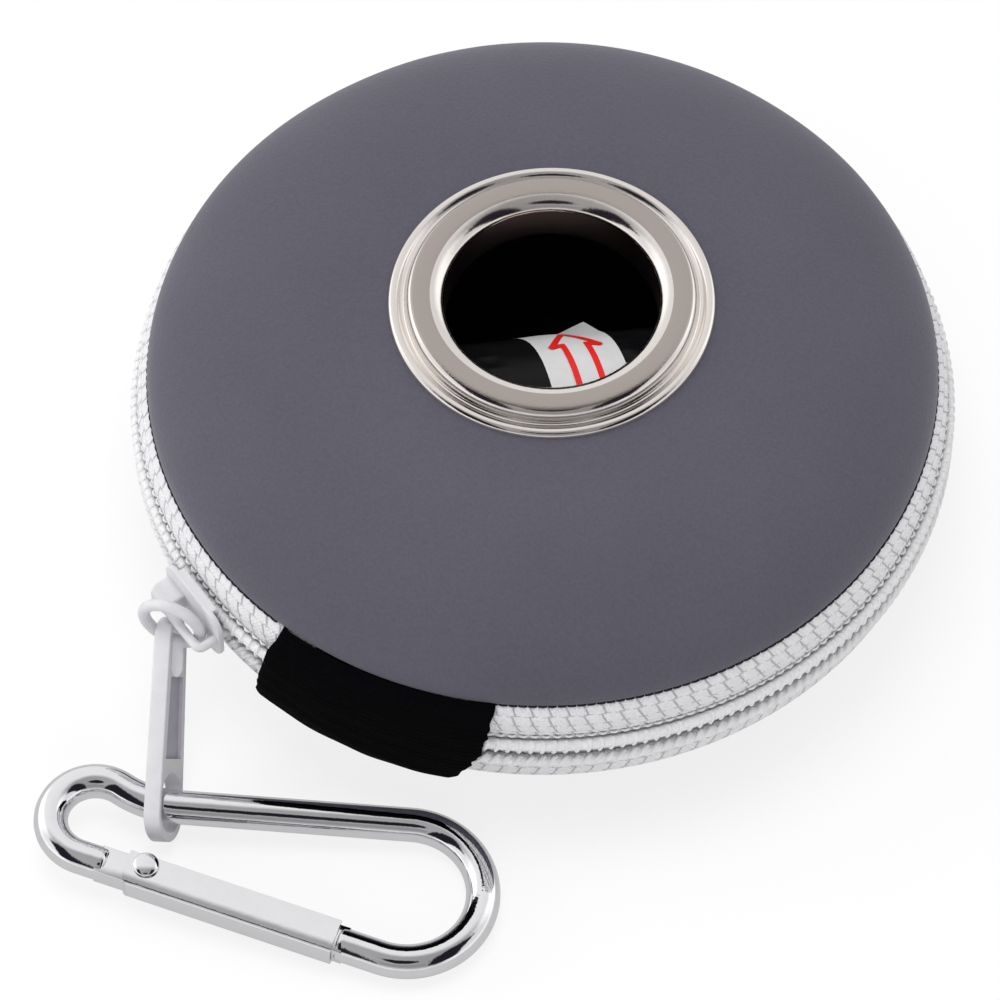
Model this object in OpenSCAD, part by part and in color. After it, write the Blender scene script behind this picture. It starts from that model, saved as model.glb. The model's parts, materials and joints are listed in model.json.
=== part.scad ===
// Round zipped case that hands out pet waste bags through an eyelet in its lid,
// with a snap hook on the zip's pull tab.
// The case lies closed on its back. The origin is the centre of the flat back face,
// +Z points out through the eyelet, and the fabric hinge is on the -Y side.
// All sizes are in millimetres and all angles in degrees.

/* [Case] */
// Diameter over the zip chain
case_d = 96; // [92:1:104]
// Height of the closed case, without the eyelet
case_h = 34; // [33:0.5:38]
// Width, seen from above, of the rounded edge of each shell
dome_w = 21.5; // [18:0.5:24]
// Height from the middle of the zip to the rim of each shell
band_half_h = 7.4; // [7:0.1:8.5]
// How far the shell rim lies inside the zip chain
rim_inset = 2.4; // [2:0.1:3]
// Thickness of the moulded foam shell with its bonded fabric
shell_t = 3; // [2:0.1:3.2]
// Thickness of the lining
lining_t = 0.5; // [0.3:0.1:0.8]

/* [Eyelet] */
// Radius of the hole that the bags come out of
eyelet_r = 12.25; // [11:0.25:12.5]
// Radius of the eyelet's flange
flange_r = 18.8; // [18:0.1:20]
// Height of the eyelet's crown above the shell
crown_h = 2; // [1.6:0.1:3]
// Sheet thickness of the eyelet
eyelet_t = 0.5; // [0.4:0.05:0.6]
// Distance of the eyelet from the middle of the case, away from the hinge
eyelet_offset = 2.5; // [0:0.5:5]
// Outer radius of the washer under the lining
washer_r = 16.5; // [16:0.5:18]
// Thickness of the washer
washer_t = 0.4; // [0.3:0.05:0.5]
// Width of the barrel's rolled lip under the washer
lip_w = 1.7; // [1.2:0.1:2.2]

/* [Zip] */
// Thickness of the woven tape
tape_t = 0.8; // [0.6:0.05:0.9]
// Height of one row of the zip coil
coil_h = 2.3; // [2:0.1:2.5]
// Thickness of the zip coil, from its tape outwards
coil_t = 1.35; // [1.2:0.05:1.5]
// Groove between the two coil rows
coil_gap = 1; // [0.9:0.05:1.2]

/* [Hinge] */
// Half the angle that the fabric hinge cover takes up
cover_half_a = 16.3; // [14:0.1:18]
// Thickness of the hinge cover
cover_t = 1; // [0.8:0.05:1.2]
// Thickness of the strip that lines the hinge
strip_t = 0.5; // [0.3:0.05:0.8]

/* [Slider] */
// Angle from the hinge back to the middle of the slider
slider_a = 29.5; // [28:0.5:40]
// Length of the slider's plates
slider_l = 10.8; // [10:0.1:11.5]
// Width of the slider's plates
slider_w = 7.4; // [7.2:0.1:8]
// Thickness of the slider's plates
plate_t = 0.7; // [0.6:0.05:1]
// Height of the gap under the bridge bar
bridge_gap = 1.75; // [1.7:0.05:2.2]
// Diameter of the bridge bar
bar_d = 1.1; // [1:0.05:1.3]
// Width of the block at the bridge's closed end
block_w = 2.6; // [2.2:0.1:2.8]
// Length of that block
block_l = 3.4; // [3:0.1:3.6]

/* [Ring and pull tab] */
// Diameter of the ring at the middle of its wire
ring_d = 6.9; // [6.6:0.1:7.5]
// Diameter of the ring's wire
ring_wire = 1.4; // [1.2:0.05:1.5]
// Distance between the ring and the hook wire in the pull tab
tab_reach = 19; // [18:0.1:24]
// Width of the tab at the ring
tab_w_top = 4.9; // [4.6:0.1:5.2]
// Width of the tab at the hook
tab_w_end = 6.6; // [6.4:0.1:8]
// Thickness of the tab
tab_t = 2; // [1.6:0.1:2.2]
// Width of the slot for the ring
slot_w = 3.1; // [2.9:0.1:3.2]
// Length of the slot for the ring
slot_l = 6.2; // [5.5:0.1:7]
// Width of the raised rim along the tab
tab_rim = 0.8; // [0.6:0.1:1]
// Depth of the recess between the rims
recess = 0.35; // [0.2:0.05:0.5]
// Direction that the tab leans in, seen from above
tab_yaw = -68; // [-72:0.5:-60]

/* [Snap hook] */
// Diameter of the hook's wire
hook_wire = 3.9; // [3.5:0.1:4]
// Radius of the large bend, at the middle of the wire
large_r = 8.7; // [7.5:0.1:10]
// Radius of the small bend, at the middle of the wire
small_r = 5; // [4.5:0.1:5.5]
// Length of the straight spine
spine_l = 26.7; // [24:0.1:36]
// Angle that the wire turns through between the small bend and the spine
kink_a = 31.5; // [28:0.5:34]
// Radius of that turn
kink_r = 12.5; // [10:0.5:14]
// How far into that turn the tab hangs
hang_turn = 24; // [18:1:28]
// Direction of the wire at the tab, seen from above
hook_yaw = 13.9; // [8:0.1:18]
// Distance from the small bend to the gate's rivet
tail_l = 8; // [7.5:0.1:9]
// Length of the wire from the large bend to the gate
nose_l = 5; // [4.5:0.1:6]
// Sheet thickness of the gate
gate_t = 0.5; // [0.4:0.05:0.6]
// Diameter of the rivet's shaft
rivet_d = 1.6; // [1.4:0.1:1.8]
// Diameter of the rivet's heads
rivet_head_d = 3; // [2.6:0.1:3.4]

/* [Bag roll] */
// Gap between the roll and the foot of the eyelet
roll_play = 1.1; // [0.8:0.1:4]
// Length of the roll of bags
roll_l = 58; // [50:1:60]
// Outer diameter of the cardboard core
core_d = 13; // [11:0.5:14]
// Wall of the cardboard core
core_t = 1; // [0.8:0.1:1.5]
// Width of the paper label round the roll
label_w = 9.2; // [8:0.1:14]
// Thickness of the paper label
label_t = 0.2; // [0.15:0.05:0.25]
// Direction of the roll's axis, seen from above
roll_yaw = 31; // [20:1:40]
// Place of the middle of the roll, seen from above
roll_at = [3.2, -4.3];

/* [Hidden] */
$fn = 72;

// Clearances: sewn or seated pieces, sliding pieces, round pins in their holes, the
// ends of the gate, and cuts that run past a face
seat_gap = 0.05;
slide_gap = 0.25;
pin_gap = 0.05;
end_gap = 0.2;
cut_past = 1;

// The case's own heights and radii
band_r = case_d / 2;
mid_z = case_h / 2;
rim_r = band_r - rim_inset;
rim_z = mid_z - band_half_h;
flat_r = rim_r - dome_w;
floor_t = shell_t + lining_t;
dome_steps = 14;
hinge_a = -90;

// The zip: the tape slopes out from the rim and carries the coil on its outside
coil_r = band_r - coil_t;
tape_r = coil_r - seat_gap;
coil_reach = coil_gap / 2 + coil_h;
tape_end_a = 9;
coil_end_a = 12;
cover_lap = 0.4;

// The slider, with its plates outside and inside the band
plate_r = band_r + slide_gap;
bridge_r = plate_r + plate_t;
inner_plate_r = tape_r - tape_t - 2 * slide_gap;
lip_t = 0.65;
lip_h = 0.6;
post_t = coil_gap - 2 * slide_gap;
post_l = 2.6;
post_inset = 0.4;
plate_corner = 2;
bar_x = bridge_gap + bar_d / 2;
bridge_h = bridge_gap + bar_d;
block_inset = 0.5;
block_y = block_inset - slider_l / 2;
foot_l = 1.4;
foot_inset = 0.3;
bar_end_y = slider_l / 2 - foot_inset;

// The ring goes under the bar at its open end and over the block at the other
ring_r = ring_d / 2;
ring_touch = 0.1;
ring_lift = (bar_d + ring_wire) / 2 + ring_touch;
ring_over = 1.2;
ring_lean = asin((ring_lift + bar_d / 2 + ring_wire / 2 + ring_over) / ring_d);
ring_under_y = 2.9;
hang_a = 84;
ring_e = [sin(ring_lean), -cos(ring_lean), 0];
ring_c = [bar_x - ring_lift, ring_under_y, 0] + ring_r * ring_e;

// The pull tab hangs from the lowest point of the ring, and its lower hole holds
// the hook's wire just clear of the surface that the case lies on
slider_dir = hinge_a - slider_a;
out_dir = [cos(slider_dir), sin(slider_dir), 0];
along_dir = [-sin(slider_dir), cos(slider_dir), 0];
up_dir = [0, 0, 1];
ring_at = (bridge_r + ring_c[0]) * out_dir + ring_c[1] * along_dir + mid_z * up_dir;
ring_e_dir = ring_e[0] * out_dir + ring_e[1] * along_dir;
tab_at = ring_at + ring_r * (cos(hang_a) * ring_e_dir - sin(hang_a) * up_dir);
ring_wire_dir = -sin(hang_a) * ring_e_dir - cos(hang_a) * up_dir;
hole_play = 1.3;
hole_slack = 2.9;
hole_w = hook_wire + hole_play;
hole_l = hook_wire + hole_slack;
hole_drop = 1.15;
end_wall = 1.05;
tab_end = hook_wire / 2 + hole_drop + end_wall;
hole_top = tab_reach + hook_wire / 2 + hole_drop - hole_l;
tab_land = 1.6;
rim_flare = 0.4;
floor_gap = 0.1;
hang_z = (tab_w_end + tab_t / 2) / 2 + floor_gap;
tab_drop = asin((tab_at[2] - hang_z) / tab_reach);
tab_dir = [cos(tab_yaw) * cos(tab_drop), sin(tab_yaw) * cos(tab_drop), -sin(tab_drop)];
tab_twist = -14;
tab_flat = unit(ring_wire_dir - (ring_wire_dir * tab_dir) * tab_dir);
tab_side = cross(tab_dir, tab_flat);
tab_normal = cos(tab_twist) * tab_flat - sin(tab_twist) * tab_side;
slot_slack = 1.1;
top_wall = 0.6;
slot_top = ring_wire / 2 + slot_slack;
tab_top = slot_top + top_wall;
hang_at = tab_at + tab_reach * tab_dir;

// The snap hook, drawn from the point where the tab hangs on it, with the wire
// along +X there. It leans on the tab and touches down at its far end.
spine_a = kink_a - hang_turn;
kink_start = kink_r * [-sin(hang_turn), 1 - cos(hang_turn)];
spine_start = kink_r * [sin(spine_a), 1 - cos(spine_a)];
spine_end = spine_start + spine_l * [cos(spine_a), sin(spine_a)];
large_c = spine_end + large_r * [sin(spine_a), -cos(spine_a)];
small_c = kink_start - small_r * [sin(hang_turn), cos(hang_turn)];
bends = large_c - small_c;
bend_step = asin((large_r - small_r) / norm(bends));
gate_a = atan2(bends[1], bends[0]) - bend_step;
gate_line = norm(bends) * cos(bend_step);
gate_room = gate_line - tail_l - nose_l;
gate_l = gate_room - end_gap;
tail_at = small_c + small_r * [sin(gate_a), -cos(gate_a)];
hook_pitch = asin((hang_z - hook_wire / 2) / (large_c[0] + large_r));

wire_sides = 24;

// The gate, a folded channel whose cheeks hold the tail and the nose between them
cheek_gap = 0.35;
tongue_t = 2.7;
tongue_w = 3.4;
gate_h = tongue_t + 2 * cheek_gap + 2 * gate_t;
gate_corner = 1.6;
web_out = 2.3;
pivot_in = 0.5;
rivet_wall = 0.5;
cheek_in = pivot_in + rivet_d / 2 + rivet_wall;
gate_w = web_out + cheek_in;
gate_back = 2.3;
nose_tongue = 3.2;
web_gap = 0.6;
web_start = tongue_w / 2 + web_gap;
web_stop = gate_room - nose_tongue - web_gap;
tail_eye_x = gate_back + 2 * tongue_w / 3;
tail_wire_l = tail_l - tail_eye_x;
head_h = 0.7;
spring_t = 0.3;
spring_w = 1.5;
spring_l = 9;
spring_curl = [[0.1, 1.1], [1.2, 0.3], [2, 0]];

// The eyelet's barrel goes through the shell and the lining
barrel_r = eyelet_r + eyelet_t;
flange_w = 1.7;
groove_w = 0.5;
crown_fillet = 1.4;
crown_edge = 0.6;
eyelet_hole_r = barrel_r + seat_gap;
barrel_foot = case_h - floor_t - washer_t - eyelet_t;

// The roll lies on the lining of the back shell
roll_gap = 0.15;
roll_half = roll_l / 2 * [cos(roll_yaw), sin(roll_yaw)];
roll_far = max(norm(roll_at + roll_half), norm(roll_at - roll_half));
lining_w = dome_w - floor_t;
lining_rise = (rim_z - floor_t) * (1 - sqrt(1 - pow(max(0, roll_far - flat_r) / lining_w, 2)));
roll_foot = floor_t + lining_rise + roll_gap;
roll_d = barrel_foot - roll_play - roll_foot;
roll_z = roll_foot + roll_d / 2;
label_a = 130;

function unit(v) = v / norm(v);
function turned_left(v) = [-v[1], v[0]];

// Points of a quarter ellipse that starts flat at (r, z) and ends upright
function dome(r, z, w, h) =
    [for (i = [0:dome_steps]) [r + w * sin(i * 90 / dome_steps), z + h * (1 - cos(i * 90 / dome_steps))]];

// Points along a circular arc
function arc(c, r, from_a, to_a, steps = 8) =
    [for (i = [0:steps]) let (a = from_a + (to_a - from_a) * i / steps) c + r * [cos(a), sin(a)]];

function reversed(p) = [for (i = [len(p) - 1:-1:0]) p[i]];

// The unit normal at one point of an open line
function line_normal(p, i) =
    turned_left(unit(p[min(i + 1, len(p) - 1)] - p[max(i - 1, 0)]));

// Outline of a sheet that follows an open line
function sheet(p, t) = concat(
    [for (i = [0:len(p) - 1]) p[i] + line_normal(p, i) * t / 2],
    reversed([for (i = [0:len(p) - 1]) p[i] - line_normal(p, i) * t / 2]));

// Half section of one layer of a shell, between two depths from its outer face
function layer(from_d, to_d) = concat(
    [[0, from_d]],
    dome(flat_r, from_d, dome_w - from_d, rim_z - from_d),
    reversed(dome(flat_r, to_d, dome_w - to_d, rim_z - to_d)),
    [[0, to_d]]);

// A ring section swept all round, but for the given angle to each side of the hinge
module round_the_case(points, skip_a = 0) {
    rotate([0, 0, hinge_a + skip_a])
        rotate_extrude(angle = 360 - 2 * skip_a)
            polygon(points);
}

// Turns the back half into the front half
module front() {
    translate([0, 0, case_h])
        mirror([0, 0, 1])
            children();
}

// Places children in the slider's frame: X outwards, Y along the zip to the hinge
module at_slider() {
    rotate([0, 0, slider_dir])
        translate([bridge_r, 0, mid_z])
            children();
}

// Places children on three unit axes at a point
module on_axes(at, x, y, z) {
    multmatrix([[x[0], y[0], z[0], at[0]],
                [x[1], y[1], z[1], at[1]],
                [x[2], y[2], z[2], at[2]],
                [0, 0, 0, 1]])
        children();
}

module at_tab() {
    on_axes(tab_at, cross(tab_dir, tab_normal), tab_dir, tab_normal)
        children();
}

module at_hook() {
    translate(hang_at)
        rotate([0, 0, hook_yaw])
            rotate([0, hook_pitch, 0])
                children();
}

// The gate's frame: X along the gate to the nose, Y to the inside of the hook
module at_gate() {
    at_hook()
        translate([tail_at[0], tail_at[1], 0])
            rotate([0, 0, gate_a])
                translate([tail_l, pivot_in, 0])
                    children();
}

module at_roll() {
    translate([roll_at[0], roll_at[1], roll_z])
        rotate([0, 0, roll_yaw])
            rotate([0, 90, 0])
                children();
}

module rounded_square(w, h, r) {
    hull()
        for (x = [-1, 1], y = [-1, 1])
            translate([x * (w / 2 - r), y * (h / 2 - r)])
                circle(r, $fn = 32);
}

// Stations of a bend of wire, each a point and a heading: turn is 1 for a left bend
// and -1 for a right bend
function bend(c, r, from_a, to_a, turn, steps) =
    [for (i = [0:steps]) let (a = from_a + (to_a - from_a) * i / steps)
        [c[0] + r * cos(a), c[1] + r * sin(a), a + 90 * turn]];

// The station at the given distance past another one
function onward(station, l) =
    [station[0] + l * cos(station[2]), station[1] + l * sin(station[2]), station[2]];

// Round wire through a list of stations, all in one plane
module wire(path, d) {
    sides = wire_sides;
    points = [for (s = path, j = [0:sides - 1])
        [s[0] - d / 2 * cos(360 * j / sides) * sin(s[2]),
         s[1] + d / 2 * cos(360 * j / sides) * cos(s[2]),
         d / 2 * sin(360 * j / sides)]];
    walls = [for (i = [0:len(path) - 2], j = [0:sides - 1]) let (k = (j + 1) % sides)
        [i * sides + j, (i + 1) * sides + j, (i + 1) * sides + k, i * sides + k]];
    foot = [for (j = [0:sides - 1]) j];
    head = [for (j = [sides - 1:-1:0]) (len(path) - 1) * sides + j];
    polyhedron(points, concat([foot], walls, [head]));
}

module shell() {
    rotate_extrude()
        polygon(layer(0, shell_t));
}

module lining() {
    rotate_extrude()
        polygon(layer(shell_t, floor_t));
}

// Cuts the eyelet's hole through the front shell and its lining
module eyelet_cut() {
    difference() {
        children();
        translate([0, eyelet_offset, mid_z])
            cylinder(r = eyelet_hole_r, h = case_h);
    }
}

module back_shell() {
    color([0.34, 0.33, 0.38])
        shell();
}

module back_lining() {
    color([0.05, 0.05, 0.06])
        lining();
}

module front_shell() {
    color([0.34, 0.33, 0.38])
        eyelet_cut()
            front()
                shell();
}

module front_lining() {
    color([0.05, 0.05, 0.06])
        eyelet_cut()
            front()
                lining();
}

// One zip tape: it leans out from the shell rim and stands upright behind the coil
module zip_tape() {
    foot = rim_z + seat_gap;
    knee = mid_z - coil_reach;
    edge = mid_z - coil_gap / 2;
    round_the_case([[rim_r - tape_t, foot], [rim_r, foot], [tape_r, knee], [tape_r, edge],
                    [tape_r - tape_t, edge], [tape_r - tape_t, knee]], tape_end_a);
}

module zip_coil() {
    low = mid_z - coil_reach;
    high = mid_z - coil_gap / 2;
    bevel = 0.45;
    round_the_case([[coil_r, low], [band_r - bevel, low], [band_r, low + bevel],
                    [band_r, high - bevel], [band_r - bevel, high], [coil_r, high]],
                   coil_end_a);
}

module back_zip_tape() {
    color([0.9, 0.9, 0.9])
        zip_tape();
}

module back_zip_coil() {
    color([0.95, 0.95, 0.95])
        zip_coil();
}

module front_zip_tape() {
    color([0.9, 0.9, 0.9])
        front()
            zip_tape();
}

module front_zip_coil() {
    color([0.95, 0.95, 0.95])
        front()
            zip_coil();
}

// The stamped eyelet: a rolled flange, a groove and a wide crown that runs down
// into the barrel, whose foot is rolled out under the washer
module eyelet() {
    top = crown_h - eyelet_t / 2;
    low = eyelet_t / 2;
    flange_roll = 0.45;
    flange_in = flange_r - flange_w;
    crown_out = flange_in - groove_w;
    crown_in = barrel_r + crown_fillet;
    line = concat(
        [[barrel_r - eyelet_t / 2, low]],
        arc([crown_in, top - crown_fillet], crown_fillet, 150, 95, 4),
        [[(crown_in + crown_out) / 2, top]],
        arc([crown_out - crown_edge, top - crown_edge], crown_edge, 85, 10, 4),
        [[flange_in, low]],
        arc([flange_r - 2 * flange_roll, low], flange_roll, 140, 10, 4));
    color([0.78, 0.76, 0.73])
        translate([0, eyelet_offset, 0]) {
            translate([0, 0, case_h])
                rotate_extrude()
                    polygon(sheet(line, eyelet_t));
            translate([0, 0, barrel_foot])
                rotate_extrude()
                    translate([eyelet_r, 0])
                        square([eyelet_t, case_h + eyelet_t - barrel_foot]);
            translate([0, 0, barrel_foot])
                rotate_extrude()
                    translate([eyelet_r, 0])
                        square([lip_w, eyelet_t]);
        }
}

module eyelet_washer() {
    color([0.7, 0.69, 0.66])
        translate([0, eyelet_offset, case_h - floor_t - washer_t])
            rotate_extrude()
                translate([barrel_r + seat_gap, 0])
                    square([washer_r - barrel_r - seat_gap, washer_t]);
}

// Fabric that covers the zip's ends and carries the lid
module hinge_cover() {
    edge_r = rim_r + cover_t / 2 + slide_gap;
    face_r = band_r + cover_t / 2 + slide_gap;
    low = [edge_r, rim_z - cover_lap];
    knee = [face_r, mid_z - coil_reach - cover_t / 2];
    line = [low, knee, [face_r, case_h - knee[1]], [edge_r, case_h - low[1]]];
    color([0.06, 0.06, 0.07])
        rotate([0, 0, hinge_a - cover_half_a])
            rotate_extrude(angle = 2 * cover_half_a)
                polygon(sheet(line, cover_t));
}

// Strip inside the hinge, sewn from rim to rim
module hinge_lining() {
    color([0.08, 0.08, 0.09])
        rotate([0, 0, hinge_a - cover_half_a])
            rotate_extrude(angle = 2 * cover_half_a)
                translate([rim_r - shell_t + strip_t, rim_z + seat_gap])
                    square([strip_t, 2 * (band_half_h - seat_gap)]);
}

module slider_plate(t) {
    rotate([0, 90, 0])
        linear_extrude(t)
            rounded_square(slider_w, slider_l, plate_corner);
}

// Two plates joined by the post that parts the coil rows, with a lip on each side
module slider_body() {
    inner_x = inner_plate_r - plate_t - bridge_r;
    lip_l = slider_l - 2 * plate_corner;
    color([0.93, 0.93, 0.93])
        at_slider() {
            for (x = [inner_x, -plate_t])
                translate([x, 0, 0])
                    slider_plate(plate_t);
            for (z = [-slider_w / 2, slider_w / 2 - lip_t])
                translate([-plate_t - lip_h, -lip_l / 2, z])
                    cube([lip_h + plate_t / 2, lip_l, lip_t]);
            translate([inner_x + plate_t / 2, slider_l / 2 - post_l - post_inset, -post_t / 2])
                cube([-inner_x - plate_t, post_l, post_t]);
        }
}

// The block and the round bar that the ring hangs on
module slider_bridge() {
    color([0.93, 0.93, 0.93])
        at_slider() {
            translate([0, block_y, -block_w / 2])
                cube([bridge_h, block_l, block_w]);
            translate([bar_x, block_y + block_l / 2, 0])
                rotate([-90, 0, 0])
                    cylinder(d = bar_d, h = bar_end_y - block_y - block_l / 2);
            translate([0, bar_end_y - foot_l, -bar_d / 2])
                cube([bridge_h, foot_l, bar_d]);
        }
}

module slider_ring() {
    color([0.9, 0.9, 0.92])
        at_slider()
            on_axes(ring_c, ring_e, up_dir, cross(ring_e, up_dir))
                rotate_extrude()
                    translate([ring_r, 0])
                        circle(d = ring_wire);
}

// Outline of the tab in its own plane, less a margin all round
module tab_outline(margin = 0) {
    top_r = tab_w_top / 2 - margin;
    end_r = tab_w_end / 2 - margin;
    polygon(concat(
        arc([0, tab_w_top / 2 - tab_top], top_r, 180, 360, 12),
        arc([0, tab_reach + tab_end - tab_w_end / 2], end_r, 0, 180, 14)));
}

module pull_tab() {
    hole_y = hole_top + hole_w / 2;
    color([0.9, 0.9, 0.92])
        at_tab()
            difference() {
                translate([0, 0, -tab_t / 2])
                    linear_extrude(tab_t)
                        tab_outline();
                for (y = [slot_w / 2 - slot_top, slot_l - slot_top - slot_w / 2])
                    translate([0, y, -tab_t])
                        cylinder(d = slot_w, h = 2 * tab_t);
                translate([-slot_w / 2, slot_w / 2 - slot_top, -tab_t])
                    cube([slot_w, slot_l - slot_w, 2 * tab_t]);
                for (y = [hole_y, hole_y + hole_l - hole_w])
                    translate([0, y, -tab_t])
                        cylinder(d = hole_w, h = 2 * tab_t);
                translate([-hole_w / 2, hole_y, -tab_t])
                    cube([hole_w, hole_l - hole_w, 2 * tab_t]);
                for (side = [0, 1])
                    mirror([0, 0, side])
                        translate([0, 0, tab_t / 2 - recess])
                            linear_extrude(tab_t)
                                tab_recess();
            }
}

// The sunk panel between the slot and the hole
module tab_recess() {
    from_y = slot_l - slot_top;
    to_y = hole_top - tab_land;
    half_from = tab_w_top / 2 - tab_rim;
    half_to = tab_w_end / 2 - tab_rim - rim_flare;
    polygon([[-half_from, from_y], [half_from, from_y], [half_to, to_y], [-half_to, to_y]]);
}

// The bent wire, flattened at both ends into tongues that fit in the gate
module hook_frame() {
    small_bend = bend(small_c, small_r, gate_a - 90, -270 - hang_turn, -1, 24);
    small_turn = [for (i = [0:len(small_bend) - 2]) small_bend[i]];
    kink = bend([0, kink_r], kink_r, -90 - hang_turn, spine_a - 90, 1, 8);
    large_bend = bend(large_c, large_r, 90 + spine_a, gate_a - 90, -1, 28);
    tail = onward(small_bend[0], -tail_wire_l);
    nose = onward(large_bend[len(large_bend) - 1], nose_l);
    color([0.82, 0.82, 0.84])
        at_hook()
            difference() {
                union() {
                    wire(concat([tail], small_turn, kink, large_bend, [nose]), hook_wire);
                    at_station(nose)
                        tongue(nose_tongue);
                    at_station([tail[0], tail[1], gate_a])
                        tongue(tail_eye_x);
                    at_station([tail[0], tail[1], gate_a])
                        translate([tail_eye_x, pivot_in, -tongue_t / 2])
                            cylinder(d = tongue_w, h = tongue_t);
                }
                at_station([tail[0], tail[1], gate_a])
                    translate([tail_eye_x, pivot_in, -hook_wire])
                        cylinder(d = rivet_d + 2 * pin_gap, h = 2 * hook_wire);
            }
}

module at_station(s) {
    translate([s[0], s[1], 0])
        rotate([0, 0, s[2]])
            children();
}

// A flat tongue along +X that starts inside the end of the round wire
module tongue(l) {
    translate([-tongue_w / 2, -tongue_w / 2, -tongue_t / 2])
        cube([l + tongue_w / 2, tongue_w, tongue_t]);
}

// Outline of a fold, round at its web and straight from there to its open side
module fold(h, web, open, r) {
    hull() {
        for (x = [-1, 1])
            translate([x * (h / 2 - r), r - web])
                circle(r, $fn = 32);
        translate([-h / 2, r - web])
            square([h, web + open - r]);
    }
}

// Cross-section of the folded gate, open on its inner side
module channel_section() {
    difference() {
        fold(gate_h, web_out, cheek_in, gate_corner);
        fold(gate_h - 2 * gate_t, web_out - gate_t, cheek_in + cut_past, gate_corner - gate_t);
    }
}

module hook_gate() {
    color([0.82, 0.82, 0.84])
        at_gate()
            difference() {
                translate([-gate_back, -pivot_in, 0])
                    rotate([90, 0, 90])
                        linear_extrude(gate_back + gate_l)
                            rotate([0, 0, -90])
                                channel_section();
                for (span = [[-gate_back - cut_past, web_start], [web_stop, gate_l + cut_past]])
                    translate([span[0], -gate_w, -tongue_t / 2 - cheek_gap])
                        cube([span[1] - span[0], gate_w, tongue_t + 2 * cheek_gap]);
                translate([0, 0, -gate_h])
                    cylinder(d = rivet_d + 2 * pin_gap, h = 2 * gate_h);
            }
}

module gate_rivet() {
    seat = gate_h / 2 + pin_gap;
    head_edge = 0.2;
    head_dome = [for (a = [0:15:75]) [rivet_head_d / 2 * cos(a), head_edge + (head_h - head_edge) * sin(a)]];
    color([0.75, 0.75, 0.77])
        at_gate() {
            translate([0, 0, -seat])
                cylinder(d = rivet_d, h = 2 * seat);
            for (side = [0, 1])
                mirror([0, 0, side])
                    translate([0, 0, seat])
                        rotate_extrude()
                            polygon(concat([[0, 0], [rivet_head_d / 2, 0]], head_dome, [[0, head_h]]));
        }
}

// Leaf along the inside of the gate's web that pushes on the end of the tail
module gate_spring() {
    web_y = gate_t + spring_t / 2 + seat_gap - web_out - pivot_in;
    color([0.6, 0.6, 0.62])
        at_gate()
            translate([0, 0, -spring_w / 2])
                linear_extrude(spring_w)
                    polygon(sheet([for (p = concat(spring_curl, [[spring_l, 0]])) [web_start, web_y] + p],
                                  spring_t));
}

module roll_tube(outer_d, inner_d, l) {
    rotate_extrude()
        translate([inner_d / 2, -l / 2])
            square([(outer_d - inner_d) / 2, l]);
}

module roll_core() {
    color([0.62, 0.5, 0.37])
        at_roll()
            roll_tube(core_d, core_d - 2 * core_t, roll_l);
}

module bag_roll() {
    color([0.05, 0.05, 0.05])
        at_roll()
            roll_tube(roll_d, core_d, roll_l);
}

// Paper strip over the top of the roll
module roll_label() {
    color([0.93, 0.93, 0.93])
        at_roll()
            rotate([0, 0, 180 - label_a / 2])
                rotate_extrude(angle = label_a)
                    translate([roll_d / 2 + seat_gap, -label_w / 2])
                        square([label_t, label_w]);
}

back_shell();
back_lining();
back_zip_tape();
back_zip_coil();
front_shell();
front_lining();
front_zip_tape();
front_zip_coil();
eyelet();
eyelet_washer();
hinge_cover();
hinge_lining();
slider_body();
slider_bridge();
slider_ring();
pull_tab();
hook_frame();
hook_gate();
gate_rivet();
gate_spring();
roll_core();
bag_roll();
roll_label();
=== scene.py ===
import json
import math

import bpy
import numpy as np
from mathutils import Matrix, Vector


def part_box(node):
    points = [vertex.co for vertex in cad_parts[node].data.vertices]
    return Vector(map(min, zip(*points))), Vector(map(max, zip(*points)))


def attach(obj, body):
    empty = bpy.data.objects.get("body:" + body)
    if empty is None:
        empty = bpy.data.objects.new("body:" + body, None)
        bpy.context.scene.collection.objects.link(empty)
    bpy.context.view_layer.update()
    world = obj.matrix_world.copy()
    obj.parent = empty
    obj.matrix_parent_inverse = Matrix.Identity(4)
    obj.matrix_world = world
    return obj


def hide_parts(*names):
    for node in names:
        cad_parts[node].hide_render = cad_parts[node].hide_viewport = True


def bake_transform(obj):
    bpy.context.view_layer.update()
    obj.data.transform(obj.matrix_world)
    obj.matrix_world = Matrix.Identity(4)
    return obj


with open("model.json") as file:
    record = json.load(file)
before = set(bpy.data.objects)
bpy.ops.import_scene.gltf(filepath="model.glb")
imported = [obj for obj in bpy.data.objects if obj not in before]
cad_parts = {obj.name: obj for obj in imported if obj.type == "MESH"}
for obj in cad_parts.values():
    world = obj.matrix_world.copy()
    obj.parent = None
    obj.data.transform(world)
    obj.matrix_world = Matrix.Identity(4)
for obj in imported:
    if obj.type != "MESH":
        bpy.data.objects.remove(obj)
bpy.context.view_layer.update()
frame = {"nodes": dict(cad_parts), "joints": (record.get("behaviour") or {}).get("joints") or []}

TAU = 2 * math.pi
MM = 0.001
UP = Vector((0, 0, 1))

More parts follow.
